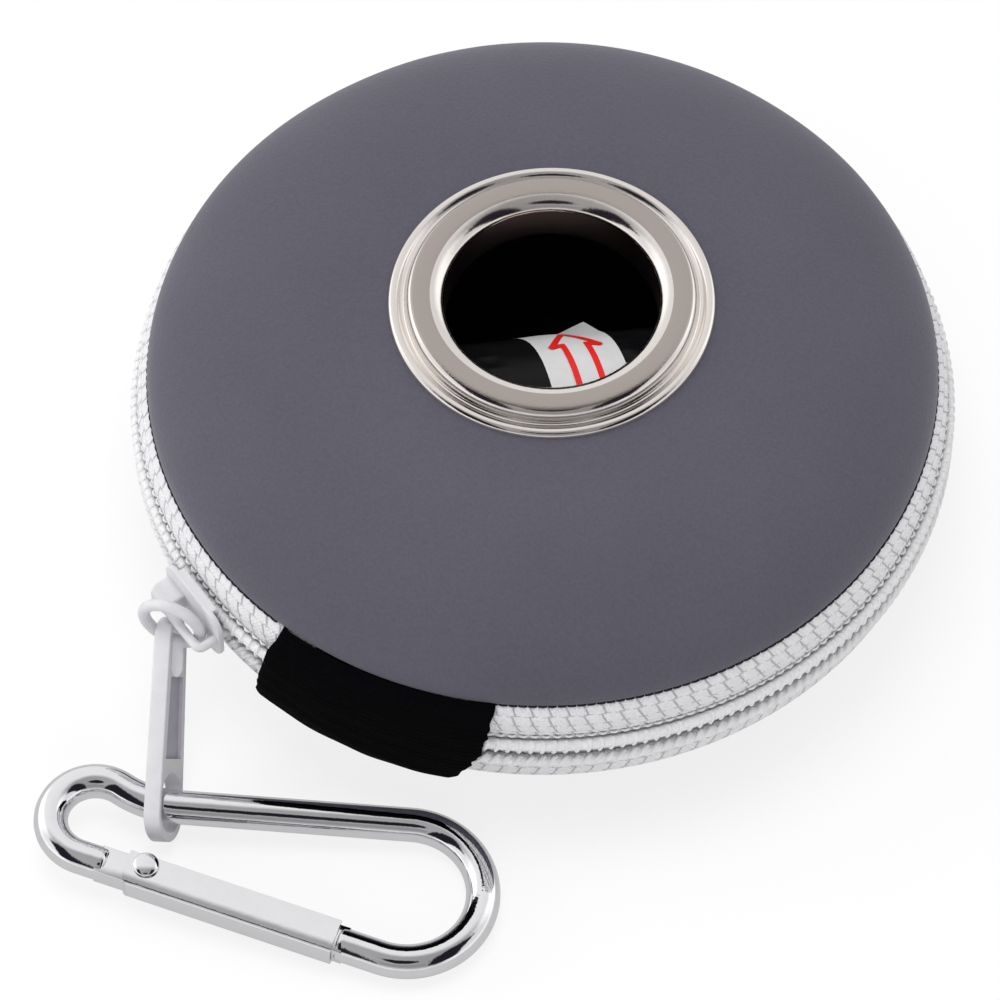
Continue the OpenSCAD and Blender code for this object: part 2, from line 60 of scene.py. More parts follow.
# Sizes of the part, in millimetres, as in its source
BAND_R, CASE_H, BAND_HALF = 48.0, 34.0, 7.4
MID_Z = CASE_H / 2
RIM_R, DOME_W, SHELL_T = 45.6, 21.5, 3.0
RIM_Z = MID_Z - BAND_HALF
FLAT_R = RIM_R - DOME_W
EYELET_R, EYELET_Y, CROWN_H, BARREL_T = 12.25, 2.5, 2.0, 0.5
HINGE = -math.pi / 2
COVER_HALF, COVER_T = math.radians(16.3), 0.9
TAPE_END, COIL_END = math.radians(9), math.radians(12)
TAPE_R, TAPE_T, TAPE_KNEE_Z = 46.6, 0.8, MID_Z - 2.8
TEETH_PITCH, COIL_R, COIL_OFF = 1.28, 47.3, 1.62
SLIDER_L, SLIDER_W, PLATE_T, INNER_PLATE_X = 10.8, 7.4, 0.7, -3.65
BAR_X, BAR_D = 2.3, 1.1
RING_R, RING_WIRE, RING_HANG = 3.45, 1.4, math.radians(84)
TAB_T, TAB_TOP_W, TAB_END_W, TAB_TWIST = 2.0, 4.9, 6.6, math.radians(-14)
WIRE = 3.9
SLOT_TOP, SLOT_W, SLOT_L, TOP_WALL = RING_WIRE / 2 + 1.1, 3.1, 6.2, 0.6
HOLE_W, HOLE_L, HOLE_DROP, END_WALL = WIRE + 1.3, WIRE + 2.9, 1.15, 1.05
RECESS, TAB_RIM, TAB_LAND, RIM_FLARE = 0.35, 0.8, 1.6, 0.4
LARGE_R, SMALL_R, SPINE_L, KINK_A, KINK_R, HANG_TURN = 8.7, 5.0, 26.7, 31.5, 12.5, 24.0
TAIL_L, NOSE_L, END_GAP = 8.0, 5.0, 0.2
TONGUE_W, TONGUE_T, GATE_BACK, PIVOT_IN = 3.4, 2.7, 2.3, 0.5
GATE_H, WEB_OUT, CHEEK_IN, GATE_T, GATE_CORNER, WEB_GAP, NOSE_TONGUE = 4.4, 2.3, 1.8, 0.5, 1.6, 0.6, 3.2
RIVET_R, RIVET_HEAD_R, RIVET_HEAD_H = 0.8, 1.5, 0.7
ROLL_L, CORE_R, LABEL_W, LABEL_HALF_A = 58.0, 6.5, 9.2, math.radians(65)
ROLL_R = (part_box("bag_roll")[1][2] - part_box("bag_roll")[0][2]) / MM / 2


# ---------------------------------------------------------------- nodes of the materials


def maths(tree, op, a, b=None, c=None, clamp=False):
    n = tree.nodes.new("ShaderNodeMath")
    n.operation = op
    n.use_clamp = clamp
    for i, v in enumerate((a, b, c)):
        if isinstance(v, (int, float)):
            n.inputs[i].default_value = v
        elif v is not None:
            tree.links.new(v, n.inputs[i])
    return n.outputs[0]


def step(tree, value, low, high):
    """0 below low and 1 above high, with a soft change between them."""
    n = tree.nodes.new("ShaderNodeMapRange")
    n.interpolation_type = "SMOOTHSTEP"
    n.inputs["From Min"].default_value = low
    n.inputs["From Max"].default_value = high
    tree.links.new(value, n.inputs["Value"])
    return n.outputs["Result"]


def band(tree, value, low, high, soft):
    """1 between low and high, and 0 outside."""
    rise = step(tree, value, low, low + soft)
    return maths(tree, "SUBTRACT", rise, step(tree, value, high - soft, high), clamp=True)


def product(tree, first, *others):
    for other in others:
        first = maths(tree, "MULTIPLY", first, other)
    return first


def mix(tree, fac, a, b, blend="MIX"):
    n = tree.nodes.new("ShaderNodeMix")
    n.data_type = "RGBA"
    n.blend_type = blend
    for socket, v in ((n.inputs[0], fac), (n.inputs[6], a), (n.inputs[7], b)):
        if isinstance(v, tuple):
            socket.default_value = (*v, 1)
        elif isinstance(v, (int, float)):
            socket.default_value = v
        else:
            tree.links.new(v, socket)
    return n.outputs[2]


def bump(tree, height, distance, strength):
    n = tree.nodes.new("ShaderNodeBump")
    n.inputs["Distance"].default_value = distance
    n.inputs["Strength"].default_value = strength
    tree.links.new(height, n.inputs["Height"])
    return n.outputs["Normal"]


def noise(tree, vector, scale, detail):
    n = tree.nodes.new("ShaderNodeTexNoise")
    tree.links.new(vector, n.inputs["Vector"])
    for label, v in (("Scale", scale), ("Detail", detail)):
        if isinstance(v, (int, float)):
            n.inputs[label].default_value = v
        else:
            tree.links.new(v, n.inputs[label])
    return n.outputs["Fac"]


def effect(name, inputs, outputs):
    """An empty node group with named sockets, and its own input and output sockets."""
    tree = bpy.data.node_groups.new(name, "ShaderNodeTree")
    for label, kind, value in inputs:
        socket = tree.interface.new_socket(name=label, in_out="INPUT", socket_type="NodeSocket" + kind)
        if value is not None:
            socket.default_value = value
    for label, kind in outputs:
        tree.interface.new_socket(name=label, in_out="OUTPUT", socket_type="NodeSocket" + kind)
    given, out = tree.nodes.new("NodeGroupInput"), tree.nodes.new("NodeGroupOutput")
    return tree, given.outputs, out.inputs


def grain_effect():
    """Fine grain of a surface: a colour between two, its tone, and a bumped normal."""
    tree, given, out = effect(
        "surface_grain",
        [("Scale", "Float", 1000.0), ("Detail", "Float", 3.0), ("Dark", "Color", (0, 0, 0, 1)),
         ("Light", "Color", (1, 1, 1, 1)), ("Depth", "Float", 0.0001), ("Strength", "Float", 0.5)],
        [("Colour", "Color"), ("Tone", "Float"), ("Normal", "Vector")])
    at = tree.nodes.new("ShaderNodeTexCoord").outputs["Object"]
    tone = noise(tree, at, given["Scale"], given["Detail"])
    raised = tree.nodes.new("ShaderNodeBump")
    tree.links.new(tone, raised.inputs["Height"])
    tree.links.new(given["Depth"], raised.inputs["Distance"])
    tree.links.new(given["Strength"], raised.inputs["Strength"])
    tree.links.new(mix(tree, tone, given["Dark"], given["Light"]), out["Colour"])
    tree.links.new(tone, out["Tone"])
    tree.links.new(raised.outputs["Normal"], out["Normal"])
    return tree


def mottle_effect():
    """Broad unevenness between two values, as of handled metal or moulded foam."""
    tree, given, out = effect(
        "mottle", [("Scale", "Float", 100.0), ("Low", "Float", 0.0), ("High", "Float", 1.0)],
        [("Value", "Float")])
    at = tree.nodes.new("ShaderNodeTexCoord").outputs["Object"]
    span = maths(tree, "SUBTRACT", given["High"], given["Low"])
    value = maths(tree, "MULTIPLY_ADD", noise(tree, at, given["Scale"], 3.0), span, given["Low"])
    tree.links.new(value, out["Value"])
    return tree


def weave_effect():
    """Threads that cross over and under: heights from 0 to 1, on the piece's own UV in millimetres."""
    tree, given, out = effect(
        "weave", [("Pitch Along", "Float", 0.5), ("Pitch Across", "Float", 0.6)],
        [("Height", "Float"), ("Along", "Float"), ("Across", "Float"), ("Place", "Vector")])
    place = tree.nodes.new("ShaderNodeUVMap")
    place.uv_map = "UVMap"
    split = tree.nodes.new("ShaderNodeSeparateXYZ")
    tree.links.new(place.outputs[0], split.inputs[0])
    waves = []
    for axis, pitch in ((0, "Pitch Along"), (1, "Pitch Across")):
        turns = maths(tree, "DIVIDE", split.outputs[axis], given[pitch])
        waves.append(maths(tree, "SINE", maths(tree, "MULTIPLY", turns, TAU)))
    height = maths(tree, "MULTIPLY_ADD", maths(tree, "MULTIPLY", *waves), 0.5, 0.5)
    tree.links.new(height, out["Height"])
    tree.links.new(split.outputs[0], out["Along"])
    tree.links.new(split.outputs[1], out["Across"])
    tree.links.new(place.outputs[0], out["Place"])
    return tree


GRAIN, MOTTLE, WEAVE = grain_effect(), mottle_effect(), weave_effect()


def use(tree, group, **values):
    """Places an effect in a material. A value is a number, a colour or another node's socket."""
    n = tree.nodes.new("ShaderNodeGroup")
    n.node_tree = group
    for key, v in values.items():
        socket = n.inputs[key.replace("_", " ")]
        if isinstance(v, tuple):
            socket.default_value = (*v, 1)
        elif isinstance(v, (int, float)):
            socket.default_value = v
        else:
            tree.links.new(v, socket)
    return n.outputs


def material(name, base, rough, metal=0.0, **inputs):
    m = bpy.data.materials.new(name)
    m.use_nodes = True
    bsdf = m.node_tree.nodes["Principled BSDF"]
    bsdf.inputs["Base Color"].default_value = (*base, 1)
    bsdf.inputs["Roughness"].default_value = rough
    bsdf.inputs["Metallic"].default_value = metal
    for key, value in inputs.items():
        bsdf.inputs[key.replace("_", " ")].default_value = value
    return m, m.node_tree, bsdf


# ---------------------------------------------------------------- materials


def shell_fabric():
    """Smooth stretch fabric bonded to moulded foam."""
    m, t, b = material("shell_fabric", (0.1, 0.096, 0.126), 0.78,
                       Sheen_Weight=0.18, Sheen_Roughness=0.5, Specular_IOR_Level=0.3)
    grain = use(t, GRAIN, Scale=2600.0, Detail=2.0, Dark=(0.07, 0.066, 0.088), Light=(0.1, 0.095, 0.125),
                Depth=0.00012, Strength=0.5)
    broad = use(t, MOTTLE, Scale=55.0, Low=0.9, High=1.1)["Value"]
    t.links.new(mix(t, 1.0, grain["Colour"], broad, "MULTIPLY"), b.inputs["Base Color"])
    t.links.new(grain["Normal"], b.inputs["Normal"])
    return m


def lining_fabric():
    m, t, b = material("lining_fabric", (0.008, 0.008, 0.01), 0.95, Specular_IOR_Level=0.15)
    grain = use(t, GRAIN, Scale=1800.0, Dark=(0.004, 0.004, 0.005), Light=(0.014, 0.014, 0.016),
                Depth=0.0002, Strength=0.6)
    t.links.new(grain["Colour"], b.inputs["Base Color"])
    t.links.new(grain["Normal"], b.inputs["Normal"])
    return m


def tape_fabric():
    """White zip tape: slanted marks of its twill in rows, fine threads, and dark dashes along its line of stitches,
    painted as the shadow between them.
    """
    m, t, b = material("tape_fabric", (0.82, 0.82, 0.83), 0.85, Sheen_Weight=0.15, Specular_IOR_Level=0.25)
    row_h, mark_pitch, twill_to, stitch_at = 1.28, 2.09, 5.0, 4.95
    cloth = use(t, WEAVE, Pitch_Along=0.523, Pitch_Across=0.6)
    u, v = cloth["Along"], cloth["Across"]
    grain = use(t, GRAIN, Scale=3000.0, Dark=(0.62, 0.62, 0.64), Light=(0.82, 0.82, 0.835))
    rows = maths(t, "DIVIDE", v, row_h)
    in_row = maths(t, "FRACT", rows)
    late = maths(t, "GREATER_THAN", maths(t, "FLOOR", rows), 1.5)
    wander = maths(t, "MULTIPLY", noise(t, cloth["Place"], 0.9, 2.0), 0.35)
    slant = maths(t, "MULTIPLY_ADD", in_row, 0.55, maths(t, "MULTIPLY_ADD", late, 0.6, wander))
    across = maths(t, "FRACT", maths(t, "DIVIDE", maths(t, "SUBTRACT", u, slant), mark_pitch))
    line = maths(t, "ABSOLUTE", maths(t, "SUBTRACT", across, 0.5))
    mark = maths(t, "SUBTRACT", 1.0, maths(t, "MULTIPLY", line, 12.0), clamp=True)
    from_middle = maths(t, "ABSOLUTE", maths(t, "SUBTRACT", in_row, 0.5))
    mark = maths(t, "MULTIPLY", mark, maths(t, "LESS_THAN", from_middle, 0.42))
    level = maths(t, "MULTIPLY", maths(t, "GREATER_THAN", from_middle, 0.43), maths(t, "LESS_THAN", line, 0.26))
    mark = maths(t, "MAXIMUM", mark, maths(t, "MULTIPLY", level, 0.7))
    mark = maths(t, "MULTIPLY", mark, maths(t, "LESS_THAN", v, twill_to))
    # Painted shadow: dark dashes along the stitch line, where the gaps between the white stitches of the coil's sewing
    # lie in shade
    off = maths(t, "DIVIDE", maths(t, "ABSOLUTE", maths(t, "SUBTRACT", v, stitch_at)), 0.24)
    dash = maths(t, "FRACT", maths(t, "DIVIDE", u, TEETH_PITCH))
    dash = maths(t, "ABSOLUTE", maths(t, "SUBTRACT", dash, 0.5))
    dash = maths(t, "SUBTRACT", 1.25, maths(t, "MULTIPLY", dash, 3.0), clamp=True)
    stitch_shadow = product(t, maths(t, "SUBTRACT", 1.0, off, clamp=True), dash)
    shade = mix(t, maths(t, "MULTIPLY", mark, 0.62), grain["Colour"], (0.22, 0.22, 0.23))
    shade = mix(t, maths(t, "MULTIPLY", stitch_shadow, 0.8), shade, (0.18, 0.18, 0.19))
    t.links.new(shade, b.inputs["Base Color"])
    high = maths(t, "MULTIPLY_ADD", cloth["Height"], 0.5, maths(t, "MULTIPLY", grain["Tone"], 0.6))
    high = maths(t, "SUBTRACT", high, maths(t, "ADD", mark, maths(t, "MULTIPLY", stitch_shadow, 1.6)))
    t.links.new(bump(t, high, 0.00016, 0.8), b.inputs["Normal"])
    return m


def coil_nylon():
    m, t, b = material("zip_coil", (0.82, 0.82, 0.83), 0.38, Subsurface_Weight=0.35,
                       Subsurface_Radius=(0.001, 0.001, 0.001))
    grain = use(t, GRAIN, Scale=500.0, Detail=2.0, Dark=(0.68, 0.68, 0.69), Light=(0.84, 0.84, 0.85))
    t.links.new(grain["Colour"], b.inputs["Base Color"])
    return m


def thread(name, dark, light):
    m, t, b = material(name, light, 0.8)
    grain = use(t, GRAIN, Scale=3000.0, Detail=2.0, Dark=dark, Light=light)
    t.links.new(grain["Colour"], b.inputs["Base Color"])
    t.links.new(grain["Normal"], b.inputs["Normal"])
    return m


def hinge_fabric():
    """Black fabric with fine ribs along the band."""
    m, t, b = material("hinge_fabric", (0.002, 0.002, 0.003), 0.95, Specular_IOR_Level=0.03)
    cloth = use(t, WEAVE, Pitch_Along=0.5, Pitch_Across=0.4)
    grain = use(t, GRAIN, Scale=4000.0, Dark=(0.0008, 0.0008, 0.001), Light=(0.0035, 0.0035, 0.0042))
    wander = maths(t, "MULTIPLY", noise(t, cloth["Place"], 0.35, 2.0), 2.5)
    rib = maths(t, "SINE", maths(t, "MULTIPLY_ADD", cloth["Across"], TAU / 0.75, wander))
    t.links.new(grain["Colour"], b.inputs["Base Color"])
    high = maths(t, "MULTIPLY_ADD", rib, 0.5, maths(t, "MULTIPLY_ADD", cloth["Height"], 0.24, grain["Tone"]))
    t.links.new(bump(t, high, 0.0002, 0.6), b.inputs["Normal"])
    return m


def metal(name, base, low, high, scale=90.0, pits=1500.0, depth=0.00004, strength=0.25):
    """Bare or plated metal: its gloss changes a little from place to place."""
    m, t, b = material(name, base, low, 1.0)
    dark = tuple(0.93 * c for c in base)
    grain = use(t, GRAIN, Scale=pits, Dark=dark, Light=base, Depth=depth, Strength=strength)
    t.links.new(use(t, MOTTLE, Scale=scale, Low=low, High=high)["Value"], b.inputs["Roughness"])
    t.links.new(grain["Colour"], b.inputs["Base Color"])
    t.links.new(grain["Normal"], b.inputs["Normal"])
    return m


def enamel(name, dark, light):
    """Stove enamel over die-cast metal."""
    m, t, b = material(name, light, 0.36, Coat_Weight=0.25, Coat_Roughness=0.25)
    grain = use(t, GRAIN, Scale=600.0, Dark=dark, Light=light, Depth=0.00012, Strength=0.35)
    t.links.new(use(t, MOTTLE, Scale=200.0, Low=0.3, High=0.44)["Value"], b.inputs["Roughness"])
    t.links.new(grain["Colour"], b.inputs["Base Color"])
    t.links.new(grain["Normal"], b.inputs["Normal"])
    return m


def bag_film():
    m, t, b = material("bag_film", (0.004, 0.004, 0.005), 0.4, Specular_IOR_Level=0.15)
    grain = use(t, GRAIN, Scale=420.0, Dark=(0.002, 0.002, 0.0026), Light=(0.006, 0.006, 0.007),
                Depth=0.0003, Strength=0.35)
    t.links.new(use(t, MOTTLE, Scale=260.0, Low=0.28, High=0.5)["Value"], b.inputs["Roughness"])
    t.links.new(grain["Colour"], b.inputs["Base Color"])
    t.links.new(grain["Normal"], b.inputs["Normal"])
    return m


def paper(name, dark, light, scale=900.0, rough=0.6):
    m, t, b = material(name, light, rough)
    grain = use(t, GRAIN, Scale=scale, Dark=dark, Light=light, Depth=0.00005, Strength=0.3)
    t.links.new(grain["Colour"], b.inputs["Base Color"])
    t.links.new(grain["Normal"], b.inputs["Normal"])
    return m


FABRIC, LINING, TAPE, COIL = shell_fabric(), lining_fabric(), tape_fabric(), coil_nylon()
WHITE_THREAD = thread("white_thread", (0.68, 0.68, 0.69), (0.84, 0.84, 0.85))
DARK_THREAD = thread("dark_thread", (0.008, 0.007, 0.012), (0.02, 0.018, 0.03))
HINGE_CLOTH = hinge_fabric()
NICKEL = metal("eyelet_metal", (0.8, 0.755, 0.72), 0.08, 0.16)
# A dark copy of the nickel for the barrel's inner wall: painted shade and painted dark reflection inside the hole
BARREL_SHADE_METAL = metal("eyelet_barrel_painted_shade", (0.1, 0.075, 0.07), 0.25, 0.4)
SATIN = metal("eyelet_crown", (0.45, 0.4, 0.37), 0.24, 0.34, pits=3500.0, depth=0.00008, strength=0.4)
CHROME = metal("hook_metal", (0.86, 0.86, 0.88), 0.03, 0.1, 120.0, 700.0, 0.00008)
SPRING = metal("spring_steel", (0.55, 0.55, 0.57), 0.25, 0.35)
ENAMEL = enamel("slider_metal", (0.6, 0.59, 0.62), (0.7, 0.7, 0.72))
# A darker copy of the slider enamel for the tab's sunk panels: painted shade of the recess
RECESS_SHADE_ENAMEL = enamel("tab_recess", (0.33, 0.31, 0.38), (0.42, 0.4, 0.47))
FILM = bag_film()
PAPER = paper("label_paper", (0.68, 0.68, 0.69), (0.78, 0.78, 0.78))
RED = paper("label_ink", (0.78, 0.008, 0.006), (0.88, 0.014, 0.01))
BOARD = paper("cardboard", (0.25, 0.18, 0.11), (0.4, 0.3, 0.2), 500.0, 0.9)


# ---------------------------------------------------------------- mesh tools


def piece(name, verts, faces, mat, body=None, stands_for=(), slot=None, uvs=None, mats=None, sharp=50):
    """A mesh in millimetres, in the part's frame. mats gives the material index of each face."""
    me = bpy.data.meshes.new(name)
    me.from_pydata([tuple(float(c) * MM for c in v) for v in verts], [],
                   [tuple(int(i) for i in f) for f in faces])
    me.validate(clean_customdata=False)
    for m in mat if isinstance(mat, (list, tuple)) else [mat]:
        me.materials.append(m)
    if mats is not None:
        me.polygons.foreach_set("material_index", np.array(mats, np.int32))
    if uvs is not None:
        layer = me.uv_layers.new(name="UVMap")
        layer.data.foreach_set("uv", np.array([c for f in uvs for p in f for c in p], np.float32))
    o = bpy.data.objects.new(name, me)
    bpy.context.scene.collection.objects.link(o)
    me.shade_smooth()
    if sharp:
        me.set_sharp_from_angle(angle=math.radians(sharp))
    if body:
        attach(o, body)
    if stands_for:
        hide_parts(*stands_for)
    return o


def bake_modifiers(o, sharp):
    """Keeps what the object's modifiers make, as its mesh."""
    bpy.context.view_layer.update()
    made = bpy.data.meshes.new_from_object(o.evaluated_get(bpy.context.evaluated_depsgraph_get()))
    o.modifiers.clear()
    o.data = made
    made.shade_smooth()
    made.set_sharp_from_angle(angle=math.radians(sharp))


def carve(o, cutters, mat, sharp=35, ease=0.0):
    """Cuts shapes out of a piece. The cut faces take mat, and ease rounds the edges left."""
    cuts = []
    for verts, faces in cutters:
        me = bpy.data.meshes.new("cutter")
        me.from_pydata([tuple(c * MM for c in v) for v in verts], [], [tuple(f) for f in faces])
        me.materials.append(mat)
        cut = bpy.data.objects.new("cutter", me)
        bpy.context.scene.collection.objects.link(cut)
        cuts.append(cut)
        mod = o.modifiers.new("carve", "BOOLEAN")
        mod.operation, mod.solver, mod.object, mod.material_mode = "DIFFERENCE", "EXACT", cut, "TRANSFER"
    if ease:
        mod = o.modifiers.new("ease", "BEVEL")
        mod.width, mod.segments, mod.limit_method = ease * MM, 2, "ANGLE"
        mod.angle_limit = math.radians(40)
    bake_modifiers(o, sharp)
    for cut in cuts:
        bpy.data.objects.remove(cut)


def grid(rows, closed_u=False, closed_v=False, uv_at=None):
    """Faces between rows of points, which close on themselves along (u) or round (v)."""
    n, k = len(rows), len(rows[0])
    verts = [p for r in rows for p in r]
    faces, uvs = [], []
    for i in range(n if closed_u else n - 1):
        for j in range(k if closed_v else k - 1):
            i2, j2 = (i + 1) % n, (j + 1) % k
            faces.append((i * k + j, i2 * k + j, i2 * k + j2, i * k + j2))
            if uv_at:
                uvs.append((uv_at(i, j), uv_at(i + 1, j), uv_at(i + 1, j + 1), uv_at(i, j + 1)))
    return verts, faces, uvs


def capped(rows):
    """A closed skin over rows of closed outlines."""
    verts, faces, _ = grid(rows, False, True)
    n, k = len(rows), len(rows[0])
    faces.append(tuple(range(k)))
    faces.append(tuple(reversed(range((n - 1) * k, n * k))))
    return verts, faces


def lathe(profile, n, a0=0.0, a1=TAU, centre=(0.0, 0.0), closed=True, shape=None):
    """Turns a profile of (r, z) about Z. UVs are millimetres: u round the band, v along the profile.
    shape(a, r, z) may move a point, and gives its (a, r, z)."""
    whole = abs(a1 - a0 - TAU) < 1e-6
    along = [0.0]
    for p, q in zip(profile, profile[1:] + profile[:1]):
        along.append(along[-1] + math.dist(p, q))
    rows = []
    for i in range(n if whole else n + 1):
        row = []
        for r, z in profile:
            a = a0 + (a1 - a0) * i / n
            if shape:
                a, r, z = shape(a, r, z)
            row.append((centre[0] + r * math.cos(a), centre[1] + r * math.sin(a), z))
        rows.append(row)
    verts, faces, uvs = grid(rows, whole, closed, lambda i, j: ((a1 - a0) * i / n * BAND_R, along[j]))
    if not whole and closed:
        k = len(profile)
        for cap in (range(k), reversed(range((len(rows) - 1) * k, len(rows) * k))):
            cap = tuple(cap)
            faces.append(cap)
            uvs.append(tuple((0.0, along[j % k]) for j in cap))
    return verts, faces, uvs


def sweep(points, axes, section, closed=False, scale=None):
    """Sweeps a closed section along points. axes gives the section's two directions at each point."""
    rows = []
    for i, (p, (x, y)) in enumerate(zip(points, axes)):
        s = scale[i] if scale else 1.0
        rows.append([tuple(Vector(p) + Vector(x) * (a * s) + Vector(y) * (b * s)) for a, b in section])
    return grid(rows, True, True)[:2] if closed else capped(rows)


def circle(r, n=16, squash=1.0):
    return [(r * math.cos(TAU * i / n), r * squash * math.sin(TAU * i / n)) for i in range(n)]


def arc(c, r, a0, a1, n):
    """Points of a circular arc, with its angles in degrees."""
    angles = [math.radians(a0 + (a1 - a0) * i / n) for i in range(n + 1)]
    return [(c[0] + r * math.cos(a), c[1] + r * math.sin(a)) for a in angles]


def merge(parts):
    verts, faces = [], []
    for v, f in parts:
        base = len(verts)
        verts += list(v)
        faces += [tuple(i + base for i in q) for q in f]
    return verts, faces


def smooth_line(points, k=6):
    """A smooth curve through points."""
    line = []
    for i in range(len(points) - 1):
        a, b = points[max(i - 1, 0)], points[i]
        c, d = points[i + 1], points[min(i + 2, len(points) - 1)]
        for t in (j / k for j in range(k)):
            line.append(0.5 * (2 * b + (c - a) * t + (2 * a - 5 * b + 4 * c - d) * t ** 2
                               + (3 * b - a - 3 * c + d) * t ** 3))
    return line + [points[-1]]


def heading(points, i):
    return (points[min(i + 1, len(points) - 1)] - points[max(i - 1, 0)]).normalized()


def axes_at(o, x, y, z):
    """Gives the place in the part's frame of a point in a frame of its own."""
    return lambda a, b, c: tuple(Vector(o) + Vector(x) * a + Vector(y) * b + Vector(z) * c)


def rounded(half_w, half_h, r, n=6, centre=(0.0, 0.0)):
    cx, cy, w, h = *centre, half_w - r, half_h - r
    corners = ((cx + w, cy + h, 0), (cx - w, cy + h, 90), (cx - w, cy - h, 180), (cx + w, cy - h, 270))
    return [p for x, y, a in corners for p in arc((x, y), r, a, a + 90, n)]


def plate(at, x0, x1, outline, edge=0.18):
    """A flat plate between x0 and x1 with eased edges; outline is a list of (y, z)."""
    cy = sum(p[0] for p in outline) / len(outline)
    cz = sum(p[1] for p in outline) / len(outline)
    levels = [(x0, edge), (x0 + edge * 0.3, edge * 0.3), (x0 + edge, 0.0)]
    levels += [(x1 - (x - x0), inset) for x, inset in reversed(levels)]
    rows = []
    for x, inset in levels:
        row = []
        for y, z in outline:
            d = math.hypot(y - cy, z - cz)
            row.append(at(x, y - (y - cy) / d * inset, z - (z - cz) / d * inset))
        rows.append(row)
    verts, faces = capped(rows)
    return verts, [tuple(reversed(q)) for q in faces]


def block(at, low, high, edge=0.3):
    """A box with eased edges between two corners."""
    (x0, y0, z0), (x1, y1, z1) = low, high
    return plate(at, x0, x1, rounded((y1 - y0) / 2, (z1 - z0) / 2, edge, 4, ((y0 + y1) / 2, (z0 + z1) / 2)), edge)


def front_half(points):
    return [(r, CASE_H - z) for r, z in points]


# ---------------------------------------------------------------- the case


def dome(r, z, w, h, n=40):
    angles = [math.pi / 2 * i / n for i in range(n + 1)]
    return [(r + w * math.sin(a), z + h * (1 - math.cos(a))) for a in angles]


def shell_profile(tuck=0.0):
    """Half section of a shell that lies on its face: outside, turned rim, inside.
    tuck draws the shoulder of the outside in under the zip."""
    turn = 0.35
    flat = [max(FLAT_R * i / 8, 0.001) for i in range(8)]
    outside = [(r, 0.0) for r in flat]
    for r, z in dome(FLAT_R, 0.0, DOME_W, RIM_Z - turn):
        drawn_in = max(0.0, min(1.0, (r - 30) / 8)) * min(1.0, (RIM_Z - z) / 1.5)
        outside.append((r - tuck * drawn_in, z))
    rim = [(RIM_R - 0.06, RIM_Z - 0.12), (RIM_R - turn, RIM_Z), (RIM_R - SHELL_T + 0.3, RIM_Z),
           (RIM_R - SHELL_T, RIM_Z - 0.3)]
    inside = dome(FLAT_R, SHELL_T, DOME_W - SHELL_T, RIM_Z - SHELL_T - turn)[::-1]
    return outside + rim + inside + [(r, SHELL_T) for r in reversed(flat)]


def foam_shape(a, r, z):
    """Slight unevenness of moulded foam, strongest on the shoulder."""
    shoulder = max(0.0, min(1.0, (r - 26) / 14)) * max(0.0, min(1.0, (RIM_R - r) / 2 + 0.15))
    dent = 0.1 * math.sin(3 * a + 0.6) + 0.08 * math.sin(7 * a + 1.9) + 0.05 * math.sin(13 * a)
    return a, r - abs(dent) * shoulder * 0.8, z


def round_the_eyelet(verts):
    """Moves the points of the flat face so that its inner edge is the eyelet's hole."""
    hole_r = EYELET_R + BARREL_T + 0.05
    moved = []
    for x, y, z in verts:
        t, a = math.hypot(x, y) / FLAT_R, math.atan2(y, x)
        if t < 1:
            c, s = math.cos(a), math.sin(a)
            x = hole_r * c * (1 - t) + FLAT_R * c * t
            y = (EYELET_Y + hole_r * s) * (1 - t) + FLAT_R * s * t
        moved.append((x, y, z))
    return moved


def case_skins():
    v, f, _ = lathe(shell_profile(0.9), 240, shape=foam_shape)
    back = piece("case_back_skin", v, f, FABRIC, "case_back", ["back_shell"], "shell_fabric", sharp=60)
    v, f, _ = lathe(front_half(shell_profile())[::-1], 240, shape=foam_shape)
    front = piece("case_front_skin", round_the_eyelet(v), f, FABRIC, "case_front", ["front_shell"],
                  "shell_fabric", sharp=60)


def seam_thread(name, body, z):
    """Dark sewing thread that shows in the seam between the fabric and the tape."""
    count, bulge, thread_r, steps = 250, 0.08, 0.12, 5
    pitch = (TAU - 2 * TAPE_END) / count
    parts = []
    for i in range(count):
        a = HINGE + TAPE_END + pitch * (i + 0.5)
        if abs((a - HINGE + math.pi) % TAU - math.pi) < COVER_HALF:
            continue
        points, axes = [], []
        for k in range(steps + 1):
            b = a + 0.9 * pitch * (k / steps - 0.5)
            out = (math.cos(b), math.sin(b), 0)
            r = RIM_R - 0.06 + bulge * math.sin(math.pi * k / steps)
            points.append((r * out[0], r * out[1], z))
            axes.append((out, UP))
        parts.append(sweep(points, axes, circle(thread_r, 6)))
    piece(name, *merge(parts), DARK_THREAD, body, slot="shell_fabric")


# ---------------------------------------------------------------- the zip


def tape_profile():
    """Outer face first, from the rim down to the coil, so that v starts at the rim."""
    edge = MID_Z - 0.3
    outer = []
    for s in (i / 14 for i in range(15)):
        swell = 0.85 * math.sin(math.pi * s ** 0.8)
        outer.append((RIM_R - 0.1 + (TAPE_R - RIM_R + 0.1) * s + swell, RIM_Z + 0.08 + (TAPE_KNEE_Z - RIM_Z) * s))
    outer += [(TAPE_R, TAPE_KNEE_Z + 0.8), (TAPE_R, edge)]
    inner = [(TAPE_R - TAPE_T, edge), (TAPE_R - TAPE_T, TAPE_KNEE_Z + 0.4)]
    inner += [(r - TAPE_T, z) for r, z in outer[13::-2]]
    return outer + inner + [(RIM_R - TAPE_T - 0.1, RIM_Z + 0.08)]


def zip_tape(name, body, profile, seam_z, node):
    """The tape, pulled into scallops where it is sewn to the rim."""
    def scallops(a, r, z):
        near = max(0.0, 1 - abs(z - seam_z) / 1.2)
        return a, r + 0.13 * near * math.sin(a * BAND_R * TAU / 1.05), z

    v, f, uvs = lathe(profile, 760, HINGE + TAPE_END, HINGE + TAU - TAPE_END, shape=scallops)
    piece(name, v, f, TAPE, body, [node], "tape_fabric", uvs=uvs, sharp=40)


